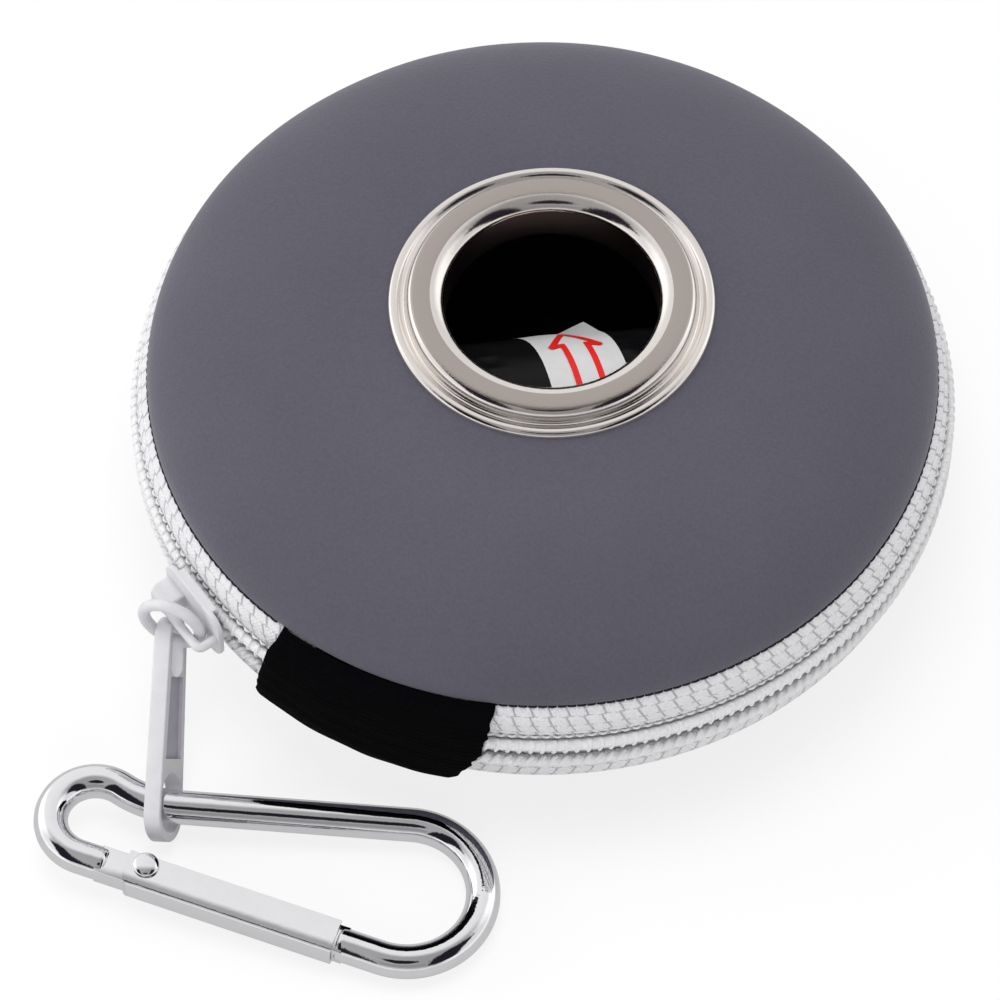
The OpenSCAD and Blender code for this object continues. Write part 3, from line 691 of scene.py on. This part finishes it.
def zip_coil(name, body, side):
    """A nylon coil: one unbroken helix round the band, flattened as it is sewn down."""
    start, end = HINGE + COIL_END, HINGE + TAU - COIL_END
    turns, steps = int((end - start) * COIL_R / TEETH_PITCH), 12
    meet = COIL_OFF - 0.12
    points = []
    for t in (i / steps for i in range(turns * steps + 1)):
        wave, push = math.cos(TAU * t * side), math.sin(TAU * t * side)
        a = start + (end - start) * t / turns + 0.34 * wave * TEETH_PITCH / COIL_R
        r = COIL_R + 0.03 + 0.3 * push
        points.append(Vector((r * math.cos(a), r * math.sin(a), MID_Z + side * meet + 0.88 * wave)))
    axes = []
    for i, p in enumerate(points):
        d = heading(points, i)
        out = Vector((p.x, p.y, 0)).normalized()
        x = out - d * out.dot(d)
        x = (x if x.length > 0.2 else UP - d * d.z).normalized()
        axes.append((x, d.cross(x)))
    piece(name, *sweep(points, axes, circle(0.3, 6)), COIL, body, slot="zip_coil", sharp=0)


def coil_cord(name, body, side, node):
    """The filler cord inside a coil, and the sewing that holds the coil to its tape."""
    start, end = HINGE + COIL_END, HINGE + TAU - COIL_END

    def run(a0, a1, n, r, bulge, z, section):
        points, axes = [], []
        for i in range(n + 1):
            a = a0 + (a1 - a0) * i / n
            out = (math.cos(a), math.sin(a), 0)
            at_r = r + bulge * math.sin(math.pi * i / n)
            points.append((at_r * out[0], at_r * out[1], z))
            axes.append((out, UP))
        return sweep(points, axes, section)

    parts = [run(start, end, 480, COIL_R - 0.1, 0.0, MID_Z + side * COIL_OFF, circle(0.62, 8, 1.3))]
    count = int((end - start) * COIL_R / TEETH_PITCH)
    half = 0.475 / COIL_R
    for i in range(count):
        a = start + (end - start) * (i + 0.5) / count
        parts.append(run(a - half, a + half, 4, TAPE_R + 0.12, 0.2, MID_Z + side * 2.95, circle(0.17, 6)))
    piece(name, *merge(parts), WHITE_THREAD, body, [node], "zip_coil", sharp=0)


# ---------------------------------------------------------------- the hinge


def cover_profile():
    """Section of the cloth over the zip's ends, from its lower edge to its upper one."""
    lap, face = 0.25, 0.75
    tall = CASE_H - 2 * RIM_Z + 2 * lap
    zs = [RIM_Z - lap + tall * i / 24 for i in range(25)]
    outer = []
    for z in zs:
        k = abs(z - MID_Z) / (tall / 2)
        low_r = RIM_R + (0.55 if z > MID_Z else 1.5)
        outer.append((low_r + (BAND_R + face - low_r) * (1 - k ** (2.6 if z > MID_Z else 4)) ** 0.8, z))
    outer[0], outer[-1] = (RIM_R + 0.1, zs[0]), (RIM_R + 0.1, zs[-1])
    return outer + [(r - COVER_T, z) for r, z in outer[22:1:-1]]


def cover_shape(a, r, z):
    """The cloth is cut a little askew, and its side edges are frayed and pressed down."""
    reach = (a - HINGE) / COVER_HALF
    edge = max(0.0, abs(reach) - 0.93) / 0.07
    drop = (z - MID_Z) / BAND_HALF
    askew = math.radians(1.9) * drop + math.radians(2.6) * max(0.0, reach) * min(0.0, drop)
    fray = 0.0035 * edge * (math.sin(z * 4.3) + 0.6 * math.sin(z * 11.7 + 2 * reach))
    ripple = 0.07 * math.sin(z * 2.2 + 9 * a) + 0.04 * math.sin(40 * a)
    return a + askew + fray, r - 0.35 * edge ** 2 + ripple, z


def hinge():
    span = (HINGE - COVER_HALF, HINGE + COVER_HALF)
    v, f, uvs = lathe(cover_profile(), 110, *span, shape=cover_shape)
    cover = piece("hinge_cover_cloth", v, f, HINGE_CLOTH, None, ["hinge_cover"], "hinge_fabric", uvs=uvs, sharp=60)
    line = [(RIM_R - 2.5, RIM_Z + 0.1 + (CASE_H - 2 * RIM_Z - 0.2) * i / 16) for i in range(17)]
    v, f, uvs = lathe(line + [(r + 0.45, z) for r, z in line[::-1]], 60, *span)
    strip = piece("hinge_strip", v, f, HINGE_CLOTH, None, ["hinge_lining"], "lining_fabric", uvs=uvs, sharp=60)
    for o in (cover, strip):
        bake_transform(o)


# ---------------------------------------------------------------- the eyelet


def eyelet():
    """One sheet: foot of the barrel, barrel, satin crown, groove and thin flange, then back inside."""
    top, foot = CASE_H + CROWN_H, 29.55
    inner_w, inner_h, outer_r, outer_w, outer_h = 2.5, 1.62, 15.6, 1.15, 1.35
    barrel = [(1.7, foot + 0.07), (1.2, foot), (0.35, foot + 0.07), (0.03, foot + 0.4), (0.0, foot + 0.85)]
    line = [(EYELET_R + x, z) for x, z in barrel] + [(EYELET_R, CASE_H + 0.3)]
    for a in (math.radians(5 * k) for k in range(2, 19)):
        line.append((EYELET_R + inner_w * (1 - math.cos(a)), top - inner_h + inner_h * math.sin(a) - 0.03))
    satin_from = len(line) - 5
    line.append((15.3, top - 0.01))
    satin_to = len(line) + 2
    for a in (math.radians(9 * k) for k in range(1, 11)):
        line.append((outer_r + outer_w * math.sin(a), top - outer_h * (1 - math.cos(a)) - 0.02))
    line += [(r, top - d) for r, d in (
        (16.85, 1.58), (17.05, 1.68), (17.3, 1.66), (17.55, 1.48), (17.8, 1.32), (18.1, 1.26), (18.4, 1.33),
        (18.62, 1.5), (18.75, 1.75), (18.8, 1.97), (18.4, 1.98), (18.2, 1.85), (17.2, 1.93), (16.4, 1.8),
        (15.8, 0.8), (14.4, 0.5))]
    line += [(13.1, CASE_H + 0.6)]
    line += [(EYELET_R + x, z) for x, z in ((0.48, CASE_H), (0.48, 30.3), (0.7, 30.05), (1.7, 30.05))]
    v, f, _ = lathe(line, 200, centre=(0.0, EYELET_Y))
    places = [i % len(line) for i in range(len(f))]
    # The barrel's faces take index 2, the dark copy of the nickel: painted shade inside the hole
    mats = [2 if i <= len(barrel) else int(satin_from <= i < satin_to) for i in places]
    piece("eyelet_sheet", v, f, [NICKEL, SATIN, BARREL_SHADE_METAL], "case_front", ["eyelet"], "eyelet_metal", mats=mats, sharp=70)


# ---------------------------------------------------------------- places of the moving pieces

JOINTS = {j["name"]: j for j in frame["joints"]}


def joint(name):
    j = JOINTS[name]
    return Vector(j["pos_m"]) / MM, Vector(j["axis"]).normalized()


bar_at, slide_along = joint("ring_swing")
tab_at, ring_tangent = joint("tab_swing")
hook_at, hook_x = joint("hook_swing")
gate_at, hook_z = joint("gate_hinge")
roll_at, roll_x = joint("roll_spin")

# The slider's frame: X outwards from its outer plate, Y along the zip to the hinge
slider_out = Vector((bar_at.x, bar_at.y, 0)).normalized()
on_slider = axes_at(bar_at - slider_out * BAR_X, slider_out, slide_along, UP)

# The ring's middle, from the point of its wire where the tab hangs
ring_e = -(ring_tangent + math.cos(RING_HANG) * UP) / math.sin(RING_HANG)
ring_at = tab_at - RING_R * (math.cos(RING_HANG) * ring_e - math.sin(RING_HANG) * UP)

# The tab's frame: Y down the tab to the hook, Z out of its face
TAB_REACH = (hook_at - tab_at).length
TAB_END = WIRE / 2 + HOLE_DROP + END_WALL
tab_y = (hook_at - tab_at).normalized()
tab_flat = (ring_tangent - tab_y * ring_tangent.dot(tab_y)).normalized()
tab_z = math.cos(TAB_TWIST) * tab_flat - math.sin(TAB_TWIST) * tab_y.cross(tab_flat)
on_tab = axes_at(tab_at, tab_y.cross(tab_z), tab_y, tab_z)

# The hook's plane, and the gate's line in it
hook_y = hook_z.cross(hook_x)
on_hook = axes_at(hook_at, hook_x, hook_y, hook_z)
turn, spine = math.radians(HANG_TURN), math.radians(KINK_A - HANG_TURN)
spine_start = Vector((KINK_R * math.sin(spine), KINK_R * (1 - math.cos(spine))))
spine_end = spine_start + SPINE_L * Vector((math.cos(spine), math.sin(spine)))
large_c = spine_end + LARGE_R * Vector((math.sin(spine), -math.cos(spine)))
small_c = Vector((-(KINK_R + SMALL_R) * math.sin(turn), KINK_R - (KINK_R + SMALL_R) * math.cos(turn)))
bends = large_c - small_c
bend_step = math.asin((LARGE_R - SMALL_R) / bends.length)
gate_a = math.atan2(bends.y, bends.x) - bend_step
gate_along = Vector((math.cos(gate_a), math.sin(gate_a)))
GATE_ROOM = bends.length * math.cos(bend_step) - TAIL_L - NOSE_L
GATE_L = GATE_ROOM - END_GAP
TAIL_EYE_X = GATE_BACK + 2 * TONGUE_W / 3
gate_x = (hook_x * gate_along.x + hook_y * gate_along.y).normalized()
on_gate = axes_at(gate_at, gate_x, hook_z.cross(gate_x), hook_z)

on_roll = axes_at(roll_at, roll_x, roll_x.cross(UP).normalized(), UP)


# ---------------------------------------------------------------- slider and ring


def slider_body():
    outline = rounded(SLIDER_L / 2, SLIDER_W / 2, 2.0)
    parts = [plate(on_slider, -PLATE_T, 0.0, outline, 0.2),
             plate(on_slider, INNER_PLATE_X - PLATE_T, INNER_PLATE_X, outline, 0.2),
             block(on_slider, (INNER_PLATE_X - 0.2, 2.4, -0.25), (-0.5, 5.0, 0.25), 0.08)]
    for side in (-1, 1):
        z = side * (SLIDER_W / 2 - 0.325)
        parts.append(block(on_slider, (-1.3, -3.4, z - 0.32), (-0.4, 3.4, z + 0.32), 0.12))
    piece("slider_plates", *merge(parts), ENAMEL, "slider", ["slider_body"], "slider_metal", sharp=40)


def slider_bridge():
    """The block with its bevelled top, and the bar that bends down to a foot at the open end."""
    crown = []
    for x, half_y, half_z, r in ((-0.1, 1.7, 1.3, 0.3), (1.7, 1.7, 1.3, 0.35), (2.35, 1.55, 1.15, 0.45),
                                 (2.72, 1.25, 0.85, 0.45), (2.85, 0.9, 0.5, 0.4)):
        crown.append([on_slider(x, y, z) for y, z in rounded(half_y, half_z, r, 5, (-3.2, 0.0))])
    verts, faces = capped(crown)
    bar = [(-3.2, BAR_X - 0.1), (-1.6, BAR_X), (1.0, BAR_X), (3.2, BAR_X), (4.2, BAR_X - 0.05), (4.6, 1.95),
           (4.68, 1.3), (4.6, 0.5), (4.55, -0.1)]
    points = smooth_line([Vector(on_slider(x, y, 0)) for y, x in bar])
    axes = [(UP, heading(points, i).cross(UP).normalized()) for i in range(len(points))]
    parts = [(verts, [tuple(reversed(q)) for q in faces]), sweep(points, axes, circle(BAR_D / 2, 14))]
    piece("slider_bridge_bar", *merge(parts), ENAMEL, "slider", ["slider_bridge"], "slider_metal", sharp=50)


def slider_ring():
    across = ring_e.cross(UP)
    spokes = [ring_e * math.cos(TAU * i / 72) + UP * math.sin(TAU * i / 72) for i in range(72)]
    v, f = sweep([ring_at + d * RING_R for d in spokes], [(d, across) for d in spokes],
                 circle(RING_WIRE / 2, 14), closed=True)
    piece("slider_ring_wire", v, f, ENAMEL, "ring", ["slider_ring"], "slider_metal", sharp=0)


# ---------------------------------------------------------------- pull tab


def tab_blank(edge=0.16):
    """The tab's outline with its slot and hole, filled and thickened with rounded edges."""
    curve = bpy.data.curves.new("pull_tab_outline", "CURVE")
    curve.dimensions, curve.fill_mode = "2D", "BOTH"
    hole_y1 = TAB_REACH + WIRE / 2 + HOLE_DROP - HOLE_W / 2
    top = (0, TAB_TOP_W / 2 - SLOT_TOP - TOP_WALL)
    end = (0, TAB_REACH + TAB_END - TAB_END_W / 2)
    for half_w, low, high in ((None, top, end),
                              (SLOT_W / 2, (0, SLOT_W / 2 - SLOT_TOP), (0, SLOT_L - SLOT_TOP - SLOT_W / 2)),
                              (HOLE_W / 2, (0, hole_y1 - HOLE_L + HOLE_W), (0, hole_y1))):
        ring = arc(low, half_w or TAB_TOP_W / 2, 180, 360, 28) + arc(high, half_w or TAB_END_W / 2, 0, 180, 28)
        spline = curve.splines.new("POLY")
        spline.points.add(len(ring) - 1)
        for p, (x, y) in zip(spline.points, ring):
            p.co = (x * MM, y * MM, 0, 1)
        spline.use_cyclic_u = True
    curve.extrude, curve.bevel_depth, curve.offset = (TAB_T / 2 - edge) * MM, edge * MM, -edge * MM
    curve.bevel_resolution = 3
    o = bpy.data.objects.new("tab_curve", curve)
    bpy.context.scene.collection.objects.link(o)
    bpy.context.view_layer.update()
    me = bpy.data.meshes.new_from_object(o.evaluated_get(bpy.context.evaluated_depsgraph_get()))
    bpy.data.objects.remove(o)
    return [on_tab(*(c / MM for c in w.co)) for w in me.vertices], [tuple(p.vertices) for p in me.polygons]


def pull_tab():
    """The blank, with a panel sunk into each face between the slot and the hole; its panels take a darker copy of the
    enamel, as painted shade.
    """
    tab = piece("pull_tab_body", *tab_blank(), [ENAMEL, RECESS_SHADE_ENAMEL], "tab", ["pull_tab"], "slider_metal")
    from_y = SLOT_L - SLOT_TOP
    to_y = TAB_REACH + WIRE / 2 + HOLE_DROP - HOLE_L - TAB_LAND
    half_from, half_to = TAB_TOP_W / 2 - TAB_RIM, TAB_END_W / 2 - TAB_RIM - RIM_FLARE
    panels = []
    for side in (-1, 1):
        rows = []
        for depth, shrink in ((-RECESS, 0.12), (0.0, 0.0), (1.0, 0.0)):
            z = side * (TAB_T / 2 + depth)
            a, b = half_from - shrink, half_to - shrink
            rows.append([on_tab(x, y, z) for x, y in ((-a, from_y), (a, from_y), (b, to_y), (-b, to_y))])
        v, f = capped(rows)
        panels.append((v, f if side < 0 else [tuple(reversed(q)) for q in f]))
    carve(tab, panels, RECESS_SHADE_ENAMEL)


# ---------------------------------------------------------------- snap hook


def tongue(x0, x1):
    """A flat tongue in the gate's frame, rounded at x1, on the wire's middle line."""
    half, side = TONGUE_W / 2, 1 if x1 > x0 else -1
    nose = [(x1 - side * 1.0 * (1 - math.sin(a)), -half * math.cos(a)) for a in (math.pi * k / 12 for k in range(13))]
    return plate(lambda z, x, y: on_gate(x, y - PIVOT_IN, z), -TONGUE_T / 2, TONGUE_T / 2,
                 [(x0, -half)] + nose + [(x0, half)], 0.16)


def hook_wire():
    """Bent wire whose ends are swaged down into tongues for the gate."""
    gate_deg, spine_deg = math.degrees(gate_a), KINK_A - HANG_TURN
    small = arc(small_c, SMALL_R, gate_deg - 90, -270 - HANG_TURN, 56)
    kink = arc((0, KINK_R), KINK_R, -90 - HANG_TURN, spine_deg - 90, 24)
    large = arc(large_c, LARGE_R, 90 + spine_deg, gate_deg - 90, 64)
    shoulders = ((0.0, 0.78), (0.08, 0.87), (0.22, 0.94), (0.45, 0.985), (0.8, 1.0))
    tail_l = TAIL_L - TAIL_EYE_X
    tail = [Vector(small[0]) + gate_along * (tail_l - d) for d, _ in shoulders]
    nose = [Vector(large[-1]) - gate_along * (NOSE_L - d) for d, _ in reversed(shoulders)]
    run = [spine_start + (spine_end - spine_start) * k / 12 for k in range(1, 12)]
    path = tail + small[:-1] + kink + run + large + nose
    scale = [s for _, s in shoulders] + [1.0] * (len(path) - 2 * len(shoulders)) + [s for _, s in reversed(shoulders)]
    points = [Vector(on_hook(p[0], p[1], 0)) for p in path]
    axes = [(hook_z.cross(heading(points, i)).normalized(), hook_z) for i in range(len(points))]
    parts = [sweep(points, axes, circle(WIRE / 2, 36), scale=scale),
             tongue(GATE_ROOM + 1.0, GATE_ROOM - NOSE_TONGUE), tongue(-TAIL_EYE_X - 1.0, TONGUE_W / 2)]
    piece("hook_wire", *merge(parts), CHROME, "hook", ["hook_frame"], "hook_metal", sharp=45)


def fold_line(half, web, r):
    """The folded sheet in section, from one cheek's edge round the web to the other: (y, z)."""
    top = CHEEK_IN - PIVOT_IN
    low = -web - PIVOT_IN + r
    return ([(top, half)] + arc((low, half - r), r, 90, 180, 10) + arc((low, r - half), r, 180, 270, 10)
            + [(top, -half)])


def prism(outline, z0, z1):
    return capped([[on_gate(x, y, z) for x, y in outline] for z in (z0, z1)])


def hook_gate():
    """A channel folded from sheet; its web stops short at both ends, and its ears hold the rivet."""
    half = GATE_H / 2
    loop = fold_line(half, WEB_OUT, GATE_CORNER)
    loop += fold_line(half - GATE_T, WEB_OUT - GATE_T, GATE_CORNER - GATE_T)[::-1]
    blank = capped([[on_gate(x, y, z) for y, z in loop] for x in (-GATE_BACK, GATE_L)])
    gate = piece("gate_channel", blank[0], blank[1], CHROME, "gate", ["hook_gate"], "hook_metal")
    inner = TONGUE_T / 2 + 0.35
    web_spans = ((-GATE_BACK - 1, TONGUE_W / 2 + WEB_GAP), (GATE_ROOM - NOSE_TONGUE - WEB_GAP, GATE_L + 1))
    cutters = [prism([(a, -5), (b, -5), (b, 0), (a, 0)], -inner, inner) for a, b in web_spans]
    top, r = CHEEK_IN - PIVOT_IN, 0.9
    corner = arc((r - GATE_BACK, top - r), r, 180, 90, 6)
    cutters.append(prism([(-GATE_BACK - 1, top + 1), (-GATE_BACK - 1, top - r)] + corner + [(r - GATE_BACK, top + 1)],
                         -half - 1, half + 1))
    low = -WEB_OUT - PIVOT_IN
    corner = arc((1.6 - GATE_BACK, low + 1.6), 1.6, 180, 270, 8)
    cutters.append(prism([(-GATE_BACK - 1, low - 1), (-GATE_BACK - 1, low + 1.6)] + corner + [(1.6 - GATE_BACK, low - 1)],
                         -half - 1, half + 1))
    carve(gate, cutters, CHROME, 40, 0.09)


def gate_rivet():
    rise = [math.radians(a) for a in range(0, 90, 12)]
    seat, skirt = GATE_H / 2 + 0.05, 0.2
    head = [(RIVET_R, seat), (RIVET_HEAD_R - 0.1, seat), (RIVET_HEAD_R, seat + 0.08)]
    head += [(RIVET_HEAD_R * math.cos(a), seat + skirt + (RIVET_HEAD_H - skirt) * math.sin(a)) for a in rise]
    head.append((0.001, seat + RIVET_HEAD_H))
    v, f, _ = lathe([(r, -z) for r, z in head[::-1]] + head, 36, closed=False)
    piece("gate_rivet_head", [on_gate(*p) for p in v], f, CHROME, "hook", ["gate_rivet"], "hook_metal", sharp=40)


# ---------------------------------------------------------------- roll of bags


def bag_roll():
    """Wound film: soft creases run round it and fan out from under the label."""
    n, m = 200, 116
    rows = []
    for a in (TAU * i / n for i in range(n)):
        row = []
        for x in (ROLL_L * (j / m - 0.5) for j in range(m + 1)):
            near = math.exp(-((abs(x) - 9) / 8) ** 2) if abs(x) > 9 else 1.0
            crease = (math.sin(9 * a + 0.55 * x + 1.3 * math.sin(2 * a)) * 0.5 + math.sin(5 * a + 0.2 * x) * 0.2
                      + math.sin(17 * a - 0.8 * x + 2 * math.sin(a)) * 0.3)
            clear_of_label = min(1.0, max(0.0, (abs(x) - LABEL_W / 2 + 0.2) / 2))
            d = 0.36 * abs(crease) * (0.35 + 0.65 * near) * clear_of_label
            r = ROLL_R - d - (0.5 if abs(x) > ROLL_L / 2 - 0.3 else 0)
            row.append(on_roll(x, r * math.sin(a), r * math.cos(a)))
        rows.append(row)
    v, f, _ = grid(rows, True, False)
    for j, x in ((0, -ROLL_L / 2), (m, ROLL_L / 2)):
        base = len(v)
        for i in range(n):
            a, i2 = TAU * i / n, (i + 1) % n
            v.append(on_roll(x, (CORE_R + 0.02) * math.sin(a), (CORE_R + 0.02) * math.cos(a)))
            q = (i * (m + 1) + j, i2 * (m + 1) + j, base + i2, base + i)
            f.append(q if j else tuple(reversed(q)))
    piece("bag_film", v, f, FILM, "roll", ["bag_roll"], "bag_film", sharp=60)


def label_at(x, a, r):
    """A place on the band, which is wound a little askew."""
    x += 0.4 + 5.6 * (1 - math.exp(min(0.0, a - LABEL_HALF_A) * 1.1))
    return on_roll(x, -r * math.sin(a), r * math.cos(a))


def roll_label():
    """A paper band over the roll, with one corner of its far end sprung up."""
    n, m = 60, 16
    rows = []
    for a in (LABEL_HALF_A * (2 * i / n - 1) for i in range(n + 1)):
        row = []
        for x in (LABEL_W * (j / m - 0.5) for j in range(m + 1)):
            spring = max(0.0, (math.degrees(a) - 48) / 17) ** 1.5 * max(0.0, (x - 0.8) / 3.8)
            row.append(label_at(x, a, ROLL_R + 0.16 + 0.05 * math.sin(3 * a + x) + 1.3 * spring))
        rows.append(row)
    v, f, _ = grid(rows)
    piece("label_band", v, f, PAPER, "roll", ["roll_label"], "label_paper", sharp=0)


def label_arrow():
    """Outline of an arrow printed on the label, pointing over the top of the roll."""
    r, half_line = ROLL_R + 0.25, 0.36
    outline = [(-1.4, -14), (-1.4, 6.2), (-2.7, 5.9), (-0.1, 10.0), (2.7, 5.9), (1.4, 6.2), (1.4, -14)]
    parts = []
    for a, b in zip(outline, outline[1:]):
        a, b = Vector(a), Vector(b)
        d = (b - a).normalized()
        side = Vector((-d.y, d.x)) * half_line
        a, b = a - d * half_line * 0.9, b + d * half_line * 0.9
        n = max(2, int((b - a).length / 0.6))
        rows = []
        for p in (a + (b - a) * i / n for i in range(n + 1)):
            rows.append([label_at(q.x, q.y / r, r) for q in (p - side, p + side)])
        parts.append(grid(rows)[:2])
    piece("label_arrow", *merge(parts), RED, "roll", slot="label_paper", sharp=0)


# ---------------------------------------------------------------- light, floor and camera

AZ, EL = math.radians(24.7), math.radians(56.1)
to_camera = Vector((math.sin(AZ) * math.cos(EL), -math.cos(AZ) * math.cos(EL), math.sin(EL)))


def studio_world():
    """A white room, a little darker at its sides low down, with the dark of the camera in it."""
    world = bpy.data.worlds.new("studio")
    world.use_nodes = True
    bpy.context.scene.world = world
    t = world.node_tree

    def along(d):
        n = t.nodes.new("ShaderNodeVectorMath")
        n.operation = "DOT_PRODUCT"
        n.inputs[1].default_value = d
        t.links.new(way, n.inputs[0])
        return n.outputs["Value"]

    way = t.nodes.new("ShaderNodeTexCoord").outputs["Generated"]
    high = along((0, 0, 1))
    aside = maths(t, "ABSOLUTE", along((math.cos(AZ), math.sin(AZ), 0)))
    toward = step(t, along((math.sin(AZ), -math.cos(AZ), 0)), 0.0, 0.12)
    wings = product(t, toward, band(t, aside, 0.36, 0.8, 0.06), band(t, high, 0.26, 0.94, 0.05))
    lens = maths(t, "POWER", maths(t, "DIVIDE", aside, 0.22), 2.0)
    rise = maths(t, "POWER", maths(t, "DIVIDE", maths(t, "SUBTRACT", high, 0.83), 0.1), 2.0)
    lens = maths(t, "SUBTRACT", 1.0, step(t, maths(t, "ADD", lens, rise), 0.8, 1.2))
    low_card = product(t, toward, band(t, high, 0.34, 0.66, 0.06), maths(t, "LESS_THAN", aside, 0.34))
    windows = maths(t, "MULTIPLY", step(t, aside, 0.5, 0.75), step(t, high, 0.0, 0.2))
    left = step(t, along((-math.cos(AZ), -math.sin(AZ), 0)), -0.9, 0.9)
    bright = maths(t, "MULTIPLY_ADD", left, 0.2, maths(t, "MULTIPLY_ADD", windows, 0.7, 1.2))
    over = maths(t, "MULTIPLY", step(t, along((math.sin(AZ), -math.cos(AZ), 0)), -0.35, 0.05), step(t, high, 0.0, 0.35))
    bright = maths(t, "MULTIPLY_ADD", over, -0.75, bright)
    tone = mix(t, low_card, bright, (0.45, 0.43, 0.45))
    tone = mix(t, maths(t, "MAXIMUM", wings, maths(t, "MULTIPLY", lens, toward)), tone, (0.025, 0.02, 0.03))
    room = t.nodes["Background"]
    t.links.new(tone, room.inputs[0])
    room.inputs[1].default_value = ROOM_LIGHT
    white = t.nodes.new("ShaderNodeBackground")
    white.inputs[0].default_value = (1, 1, 1, 1)
    pick = t.nodes.new("ShaderNodeMixShader")
    t.links.new(t.nodes.new("ShaderNodeLightPath").outputs["Is Camera Ray"], pick.inputs[0])
    t.links.new(room.outputs[0], pick.inputs[1])
    t.links.new(white.outputs[0], pick.inputs[2])
    t.links.new(pick.outputs[0], t.nodes["World Output"].inputs[0])


def pale_floor():
    """A white floor that keeps a faint shadow of the part."""
    size = 2.0
    me = bpy.data.meshes.new("floor")
    me.from_pydata([(-size, -size, 0), (size, -size, 0), (size, size, 0), (-size, size, 0)], [], [(0, 1, 2, 3)])
    o = bpy.data.objects.new("floor", me)
    bpy.context.scene.collection.objects.link(o)
    o.location.z = -0.0003
    m, t, b = material("floor", (0.92, 0.92, 0.92), 0.9)
    seen = t.nodes.new("ShaderNodeLightPath")
    glow = t.nodes.new("ShaderNodeEmission")
    glow.inputs[0].default_value = (1, 1, 1, 1)
    t.links.new(maths(t, "MULTIPLY_ADD", seen.outputs["Is Camera Ray"], 0.45, 0.55), glow.inputs[1])
    share = maths(t, "MAXIMUM", maths(t, "MULTIPLY", seen.outputs["Is Camera Ray"], 0.8),
                  maths(t, "MULTIPLY", seen.outputs["Is Glossy Ray"], 0.8))
    mixed = t.nodes.new("ShaderNodeMixShader")
    t.links.new(share, mixed.inputs[0])
    t.links.new(b.outputs[0], mixed.inputs[1])
    t.links.new(glow.outputs[0], mixed.inputs[2])
    t.links.new(mixed.outputs[0], t.nodes["Material Output"].inputs[0])
    me.materials.append(m)


def lamp(name, at, size, power):
    data = bpy.data.lights.new(name, "AREA")
    data.size, data.energy = size, power
    o = bpy.data.objects.new(name, data)
    bpy.context.scene.collection.objects.link(o)
    o.location = at
    o.rotation_euler = (Vector(at) - Vector((0, -0.01, 0.017))).to_track_quat("Z", "Y").to_euler()
    o.visible_glossy = False


def camera():
    """The photograph's own view of this part, framed as the photograph's corner that holds it."""
    data = bpy.data.cameras.new("camera")
    o = bpy.data.objects.new("camera", data)
    bpy.context.scene.collection.objects.link(o)
    o.rotation_mode = "QUATERNION"
    o.rotation_quaternion = to_camera.to_track_quat("Z", "Y")
    o.location = Vector((0, 0.0025, 0.017)) + to_camera * 0.6097
    data.lens, data.sensor_width = 187.9, 36
    data.shift_x, data.shift_y = (500 - 551.7) / 1000, (384.7 - 500) / 1000
    data.clip_start, data.clip_end = 0.01, 10
    bpy.context.scene.camera = o


# ---------------------------------------------------------------- the whole part

case_skins()
seam_thread("back_seam_thread", "case_back", RIM_Z + 0.06)
seam_thread("front_seam_thread", "case_front", CASE_H - RIM_Z - 0.06)
zip_tape("back_tape", "case_back", tape_profile(), RIM_Z, "back_zip_tape")
zip_tape("front_tape", "case_front", front_half(tape_profile()), CASE_H - RIM_Z, "front_zip_tape")
for half, side in (("back", -1), ("front", 1)):
    zip_coil(half + "_coil", "case_" + half, side)
    coil_cord(half + "_coil_cord", "case_" + half, side, half + "_zip_coil")
hinge()
eyelet()
slider_body()
slider_bridge()
slider_ring()
pull_tab()
hook_wire()
hook_gate()
gate_rivet()
bag_roll()
roll_label()
label_arrow()

for name, mat in (("back_lining", LINING), ("front_lining", LINING), ("eyelet_washer", NICKEL),
                  ("gate_spring", SPRING), ("roll_core", BOARD)):
    mesh = frame["nodes"][name].data
    mesh.materials.clear()
    mesh.materials.append(mat)
    mesh.shade_smooth()
    mesh.set_sharp_from_angle(angle=math.radians(30))

ROOM_LIGHT = 0.7
studio_world()
pale_floor()
lamp("overhead", (-0.05, 0.0, 0.6), 0.3, 1.5)
lamp("front", (0.25, -0.5, 0.3), 0.3, 0.9)
lamp("side", (-0.55, -0.2, 0.2), 0.3, 0.8)
camera()
bpy.context.scene.view_settings.view_transform = "Standard"
